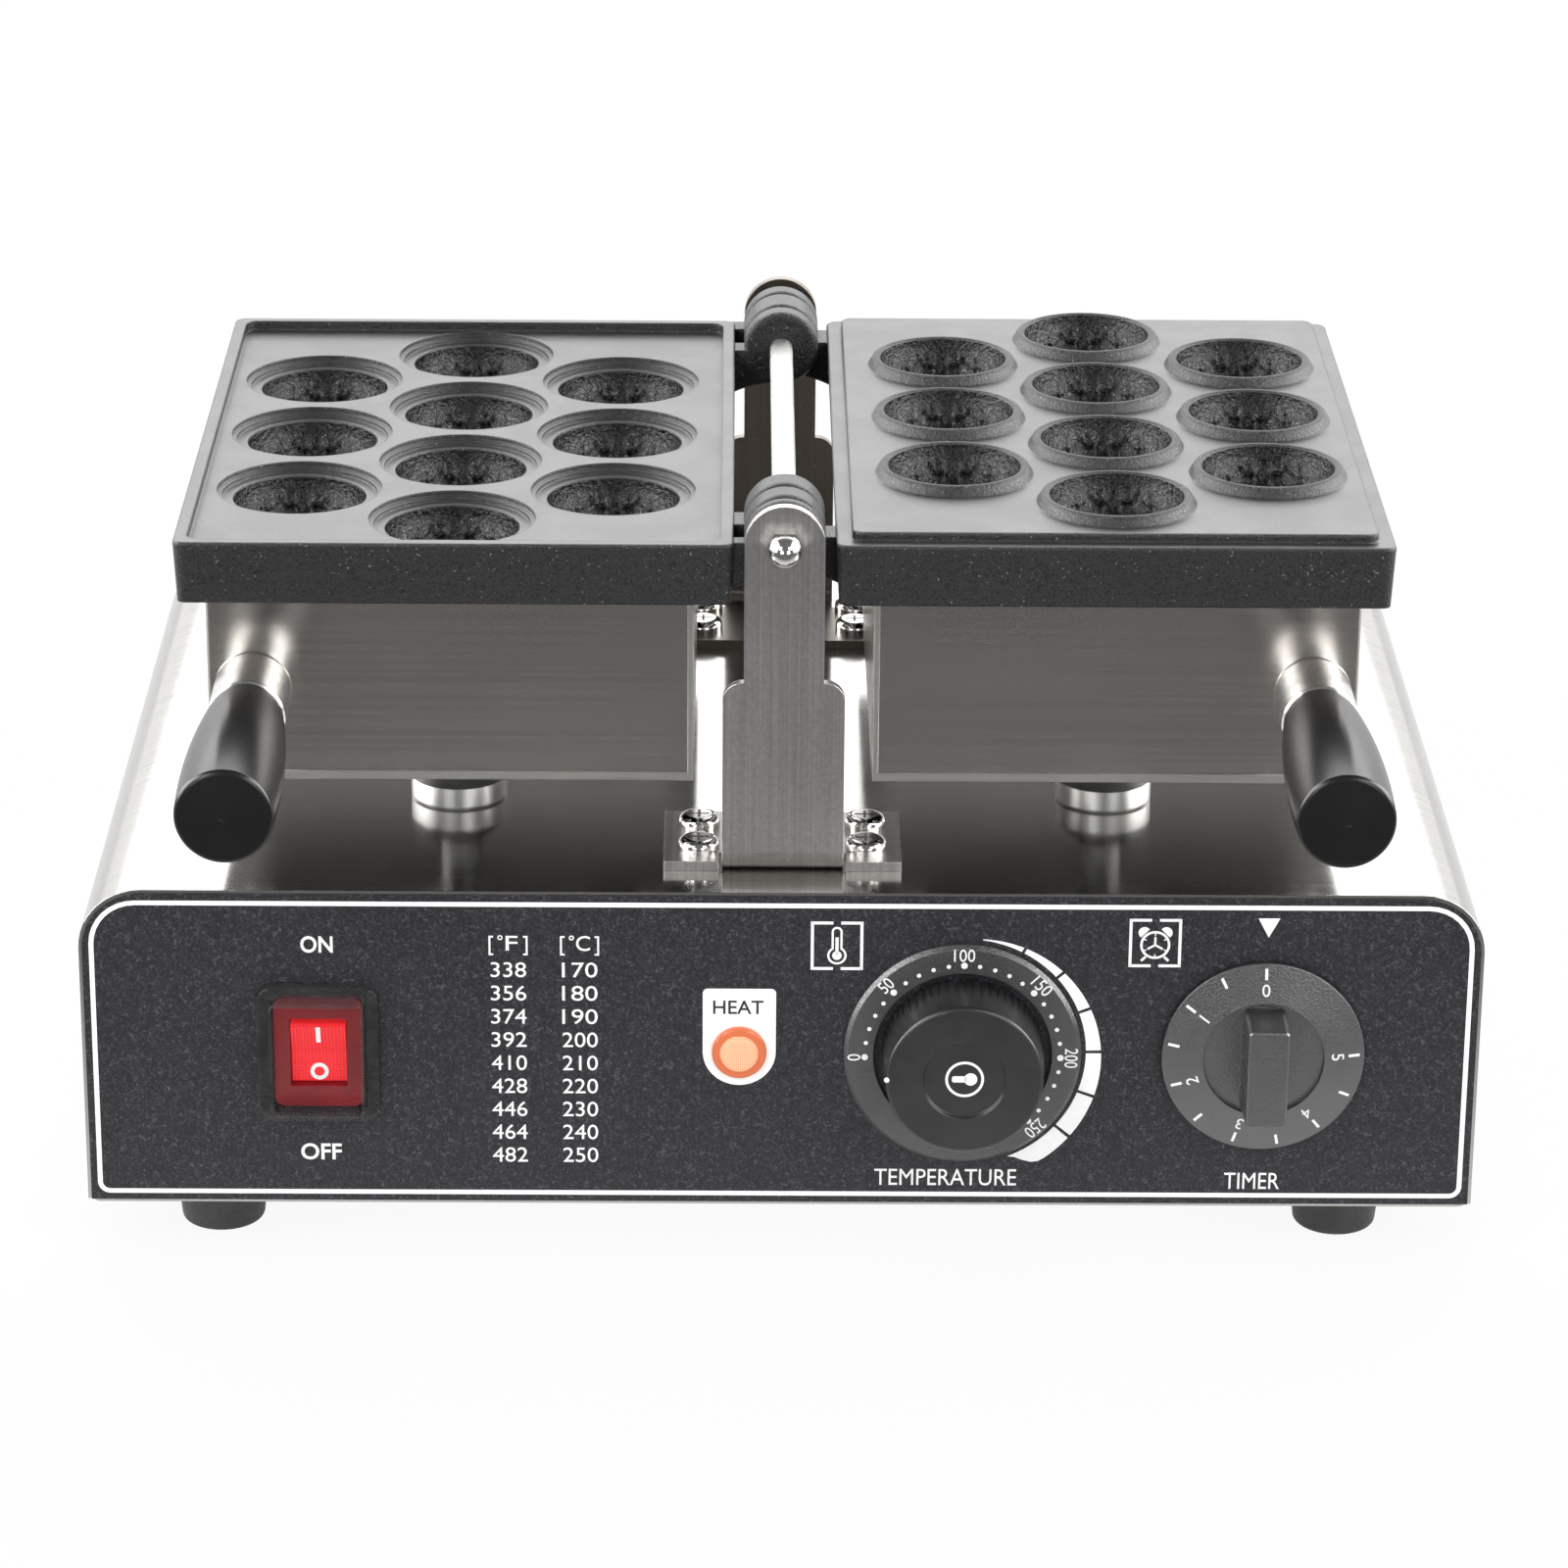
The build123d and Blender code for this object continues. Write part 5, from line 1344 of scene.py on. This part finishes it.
@dataclass
class WalnutCup:
    """The relief at the bottom of one cavity: a kernel's seam and its folded lobes."""

    radius: float = 19.25
    depth: float = 16.5
    rim_gap: float = 0.5
    rings: int = 44
    spokes: int = 120
    seam_height: float = 2.0
    seam_width: float = 0.9
    seam_wave: float = 0.4
    seam_turns: float = 0.7
    seam_ends: Spot = (13.5, 17.5)
    fold_height: float = 1.7
    fold_size: float = 2.7
    fold_stretch: float = 1.5
    fold_bend: float = 2.4
    bend_turns: float = 0.16
    small_folds: float = 0.35
    small_scale: float = 2.3
    lobe_start: Spot = (1.2, 3.0)
    lobe_end: Spot = (14.5, 9.0)
    lobe_least: float = 0.3
    swell_height: float = 1.1
    swell_fade: Spot = (9.0, 17.0)
    relief_radius: float = 18.6
    relief_fade: float = 3.0
    skin: float = 0.24

    def height(self, x: float, y: float) -> float:
        """How far the relief rises from the cup's wall.

        Args:
            x: Distance to the right of the cup's middle.
            y: Distance behind it.

        Returns:
            The rise in millimetres.
        """
        reach = math.hypot(x, y)
        fade = 1 - ease(reach, self.relief_radius - self.relief_fade, self.relief_radius)
        side = abs(x)
        bend = noise.noise(Vector((side * self.bend_turns, y * self.bend_turns, 3.0))) * self.fold_bend
        length = self.fold_size * self.fold_stretch
        spot = Vector(((side + bend) / self.fold_size, (y - bend) / length, 0.4))
        folds = (1 - min(abs(noise.noise(spot)) * 3.2, 1.0)) ** 1.6
        small = (1 - min(abs(noise.noise(spot * self.small_scale)) * 3.0, 1.0)) * self.small_folds
        least = self.lobe_least
        lobes = ease(side, *self.lobe_start) * (least + (1 - least) * ease(side, *self.lobe_end))
        wave = self.seam_wave * math.sin(y * self.seam_turns)
        seam = math.exp(-(((x - wave) / self.seam_width) ** 2)) * (1 - ease(abs(y), *self.seam_ends))
        swell = self.swell_height * lobes * (1 - ease(reach, *self.swell_fade))
        return self.skin + fade * (
            self.fold_height * lobes * (folds + small) + self.seam_height * seam + swell
        )

    def draw(self, draft: Draft, mouth: Vector) -> None:
        """Add one cup's relief to a draft, under the middle of its mouth."""
        rise = (self.radius**2 - self.depth**2) / (2 * self.depth)
        sphere = self.depth + rise
        centre = mouth + Vector((0, 0, rise))
        highest = math.pi / 2 + math.asin((rise + self.rim_gap) / sphere)
        rows = []
        for ring_number in range(1, self.rings + 1):
            slope = math.pi + (highest - math.pi) * ring_number / self.rings
            row = []
            for x, y in ring(CENTRE, math.sin(slope), self.spokes):
                way = Vector((x, y, math.cos(slope)))
                row.append(centre + way * (sphere - self.height(way.x * sphere, way.y * sphere)))
            rows.append(row)
        draft.rows(rows, closed=True)
        bottom = centre - Vector((0, 0, sphere - self.height(0, 0)))
        fan = [(spoke, (spoke + 1) % self.spokes, self.spokes) for spoke in range(self.spokes)]
        draft.add([*rows[0], bottom], [tuple(reversed(face)) for face in fan])


@dataclass
class Half:
    """One of the two halves: its mould plate, heater box, handle and foot."""

    side: int
    name: str
    cup_below_mouth: float = 9.3
    hem_height: float = 2.8
    hem_width: float = 1.8
    hem_sheet: float = 0.5
    hem_inset: float = 0.2
    hem_end: float = 1.5
    cup: WalnutCup = field(default_factory=WalnutCup)

    @property
    def body(self) -> str:
        """The body that the half moves with."""
        return f"{self.name}_half"

    def build(self) -> list[Piece]:
        """Dress the half, cast the relief in its cups and fold its box's hem."""
        finishes = {
            "mould_plate": CASTING,
            "hinge_arms": ARM_CASTING,
            "heater_box": BOX_STEEL,
            "heating_element": ELEMENT_SHEATH,
            "element_clamp": BRIGHT_STEEL,
            "box_studs": BRIGHT_STEEL,
            "screws": BRIGHT_STEEL,
            "handle_bolt": BRIGHT_STEEL,
            "insulation_pad": FIBRE,
            "support_foot": TURNED_ALUMINIUM,
            "handle_ferrule": FERRULE_STEEL,
            "handle_grip": GLOSS_BLACK,
            "box_grommet": RUBBER,
        }
        for part, finish in finishes.items():
            dress(finish, f"{self.name}_{part}")
        if self.side < 0:
            dress(BRIGHT_STEEL, "thermostat_bulb")
        return [self.relief(), self.hem()]

    def relief(self) -> Piece:
        """The walnut relief of all ten cups."""
        draft = Draft()
        for opening in frame["record"]["physics"]["openings"]:
            if opening["name"].startswith(f"{self.name}_cavity"):
                low, high = (Vector(corner) / MM for corner in opening["box_m"])
                mouth = Vector(((low.x + high.x) / 2, (low.y + high.y) / 2, low.z + self.cup_below_mouth))
                self.cup.draw(draft, mouth)
        return draft.piece(f"{self.name}_walnut_relief", SHADED_CUP_COAT, self.body, "coated_casting", smooth=True)

    def hem(self) -> Piece:
        """The folded hem along the box's lower and inner front edges, its lighter steel a painted highlight
        along them.
        """
        low, high = corners(f"{self.name}_heater_box")
        inner, outer = (low.x, high.x) if self.side > 0 else (high.x, low.x)
        way = self.side
        bottom = low.z + self.hem_inset
        ink = Print(facing_front(0, low.y, 0), thickness=self.hem_sheet, sink=0.0)
        outline = [
            (inner + way * self.hem_inset, bottom),
            (outer - way * self.hem_end, bottom),
            (outer - way * self.hem_end, low.z + self.hem_height),
            (inner + way * self.hem_width, low.z + self.hem_height),
            (inner + way * self.hem_width, high.z),
            (inner + way * self.hem_inset, high.z),
        ]
        ink.patch(outline if way > 0 else outline[::-1])
        return ink.draft.piece(f"{self.name}_box_hem", HIGHLIT_HEM_STEEL, self.body, "brushed_sheet")


# The picture


@dataclass(frozen=True)
class SoftLamp:
    """A soft rectangular lamp that the camera doesn't see. A radiance of 1 is a white face."""

    name: str
    place: Place
    target: Place
    size: tuple[float, float]
    radiance: float
    mirrored: bool = True

    def hang(self) -> None:
        """Hang the lamp, turned to its target."""
        data = bpy.data.lights.new(self.name, "AREA")
        data.shape = "RECTANGLE"
        data.size, data.size_y = self.size
        data.energy = self.radiance * math.pi * self.size[0] * self.size[1]
        lamp = bpy.data.objects.new(self.name, data)
        lamp.location = self.place
        back = Vector(self.place) - Vector(self.target)
        lamp.rotation_euler = back.to_track_quat("Z", "Y").to_euler()
        lamp.visible_camera = False
        lamp.visible_glossy = self.mirrored
        bpy.context.scene.collection.objects.link(lamp)


LAMPS = (
    SoftLamp("back_lamp", (0.0, 1.5, 1.15), (0.0, 0.0, 0.15), (2.6, 1.3), 1.5),
    SoftLamp("top_lamp", (-0.25, -0.25, 1.9), (0.0, 0.0, 0.1), (1.4, 1.2), 0.8, mirrored=False),
    SoftLamp("soft_box_-1", (-1.1, -1.43, 1.37), (0.0, 0.0, 0.12), (0.6, 0.6), 9.0),
    SoftLamp("soft_box_1", (1.1, -1.43, 1.37), (0.0, 0.0, 0.12), (0.6, 0.6), 9.0),
)


@dataclass
class Studio:
    """A pale floor in a white room, lit by broad soft lamps, dark only towards the front.

    What glossy surfaces mirror is dark ahead of the machine, bright behind it, brighter still
    on both flanks, and has a window to the left and right of the camera. The parts of a direction
    run from -1 to 1: across to the right, deep to the back, and up. Each pair of numbers is where
    a change begins and ends. The camera's angles are in degrees, its lens in millimetres.
    """

    floor_half: float = 9.0
    floor_tone: float = 0.86
    floor_white: float = 0.92
    floor_shine: float = 0.9
    floor_deep: Spot = (-0.42, -0.12)
    dark: float = 0.17
    bright: float = 1.25
    back_deep: Spot = (0.25, 0.70)
    flank: float = 8.0
    flank_across: Spot = (0.60, 0.70)
    flank_deep: Spot = (-0.60, -0.30)
    flank_up: Spot = (-0.02, 0.15)
    flank_low: float = 0.15
    window: float = 4.0
    window_inner: Spot = (0.20, 0.28)
    window_outer: Spot = (0.50, 0.58)
    window_deep: Spot = (-0.86, -0.80)
    window_sill: Spot = (-0.02, 0.04)
    window_head: Spot = (0.30, 0.36)
    soft: float = 0.70
    camera_place: Place = (-0.013479, -1.589793, 0.731238)
    pitch: float = 21.487
    yaw: float = 0.527
    roll: float = 0.471
    lens: float = 129.7
    sensor: float = 36.0

    def build(self) -> None:
        """Set up the room, its lamps and the camera."""
        self.sky()
        self.floor()
        for lamp in LAMPS:
            lamp.hang()
        self.camera()

    def sky(self) -> None:
        """The room: white to look at, and soft or mirrored light for everything else."""
        world = bpy.data.worlds.new("room")
        world.use_nodes = True
        bpy.context.scene.world = world
        tree = world.node_tree
        sheet = NodeSheet("room_nodes")
        sheet.tree = tree
        way = sheet.add("TexCoord").outputs["Generated"]
        across, deep, up = sheet.add("SeparateXYZ", {0: way}).outputs
        aside = sheet.step("ABSOLUTE", across)
        flank = sheet.times(
            sheet.span(aside, *self.flank_across, 0.0, self.flank), sheet.span(deep, *self.flank_deep)
        )
        flank = sheet.times(flank, sheet.span(up, *self.flank_up, self.flank_low, 1.0))
        back = sheet.span(deep, *self.back_deep, self.dark, self.bright)
        window = sheet.times(
            sheet.span(aside, *self.window_inner, 0.0, self.window),
            sheet.span(aside, *self.window_outer, 1.0, 0.0),
            sheet.span(deep, *self.window_deep, 1.0, 0.0),
            sheet.span(up, *self.window_sill),
            sheet.span(up, *self.window_head, 1.0, 0.0),
        )
        gloss = sheet.sum(back, flank, window)
        path = sheet.add("LightPath")
        seen = sheet.step("MAXIMUM", path.outputs["Is Camera Ray"], path.outputs["Is Transmission Ray"])
        shine = sheet.blend(path.outputs["Is Glossy Ray"], (self.soft,) * 3, gloss)
        colour = sheet.blend(seen, shine, (1.0, 1.0, 1.0))
        world.cycles.sampling_method = "NONE"
        background = tree.nodes["Background"]
        sheet.put(background.inputs["Color"], colour)
        background.inputs["Strength"].default_value = 1.0
        bpy.data.materials.remove(sheet.material)

    def floor(self) -> None:
        """The floor: pale, with the machine's shadow, and dark in gloss towards the front."""
        mesh = bpy.data.meshes.new("floor")
        half = self.floor_half
        corner_spots = ((-half, -half), (half, -half), (half, half), (-half, half))
        mesh.from_pydata([(*spot, 0) for spot in corner_spots], [], [(0, 1, 2, 3)])
        sheet = NodeSheet("pale_floor")
        tone = (*(self.floor_tone,) * 3, 1.0)
        sheet.set_shader(Base_Color=tone, Roughness=0.9, Specular_IOR_Level=0.0)
        path = sheet.add("LightPath")
        gloss = sheet.span(sheet.axis("Y"), *self.floor_deep, self.dark, self.floor_shine)
        white = (1.0, 1.0, 1.0, 1.0)
        shine = sheet.add("Emission", {"Color": white, "Strength": gloss})
        plain = sheet.add("Emission", {"Color": white, "Strength": 1.0})
        matt = sheet.shader.outputs[0]
        lit = self.mixed(sheet, self.floor_white, matt, plain.outputs[0])
        seen = self.mixed(sheet, path.outputs["Is Camera Ray"], matt, lit)
        ground = self.mixed(sheet, path.outputs["Is Glossy Ray"], seen, shine.outputs[0])
        sheet.put(sheet.output.inputs["Surface"], ground)
        sheet.material.cycles.emission_sampling = "NONE"
        mesh.materials.append(sheet.material)
        floor = bpy.data.objects.new("floor", mesh)
        bpy.context.scene.collection.objects.link(floor)

    @staticmethod
    def mixed(sheet: NodeSheet, share: object, first: object, second: object) -> Socket:
        """Mix two shaders, the second one counting by share."""
        return sheet.add("MixShader", {0: share, 1: first, 2: second}).outputs[0]

    def camera(self) -> None:
        """Place the camera where the photograph was taken from."""
        pitch, yaw, roll = (math.radians(turn) for turn in (self.pitch, self.yaw, self.roll))
        ahead = Vector((math.sin(yaw) * math.cos(pitch), math.cos(yaw) * math.cos(pitch), -math.sin(pitch)))
        level = Vector((math.cos(yaw), -math.sin(yaw), 0))
        above = level.cross(ahead)
        right = level * math.cos(roll) + above * math.sin(roll)
        up = above * math.cos(roll) - level * math.sin(roll)
        data = bpy.data.cameras.new("camera")
        data.lens = self.lens
        data.sensor_width = self.sensor
        data.sensor_fit = "AUTO"
        camera = bpy.data.objects.new("camera", data)
        turn = Matrix((right, up, -ahead)).transposed()
        camera.matrix_world = Matrix.Translation(self.camera_place) @ turn.to_4x4()
        bpy.context.scene.collection.objects.link(camera)
        bpy.context.scene.camera = camera
        bpy.context.scene.view_settings.view_transform = "Standard"


def main() -> None:
    """Build the machine's sub-assemblies in order, and then the picture."""
    assemblies = [
        Housing(),
        OverlayPrint(),
        Switch(),
        HeatLamp(),
        Thermostat(),
        Timer(),
        Hinge(),
        Half(-1, "left"),
        Half(1, "right"),
    ]
    for assembly in assemblies:
        pieces = assembly.build()
        log.info("%s: %s", type(assembly).__name__, ", ".join(p.name for p in pieces) or "finishes only")
    Studio().build()


if __name__ == "__main__":
    main()
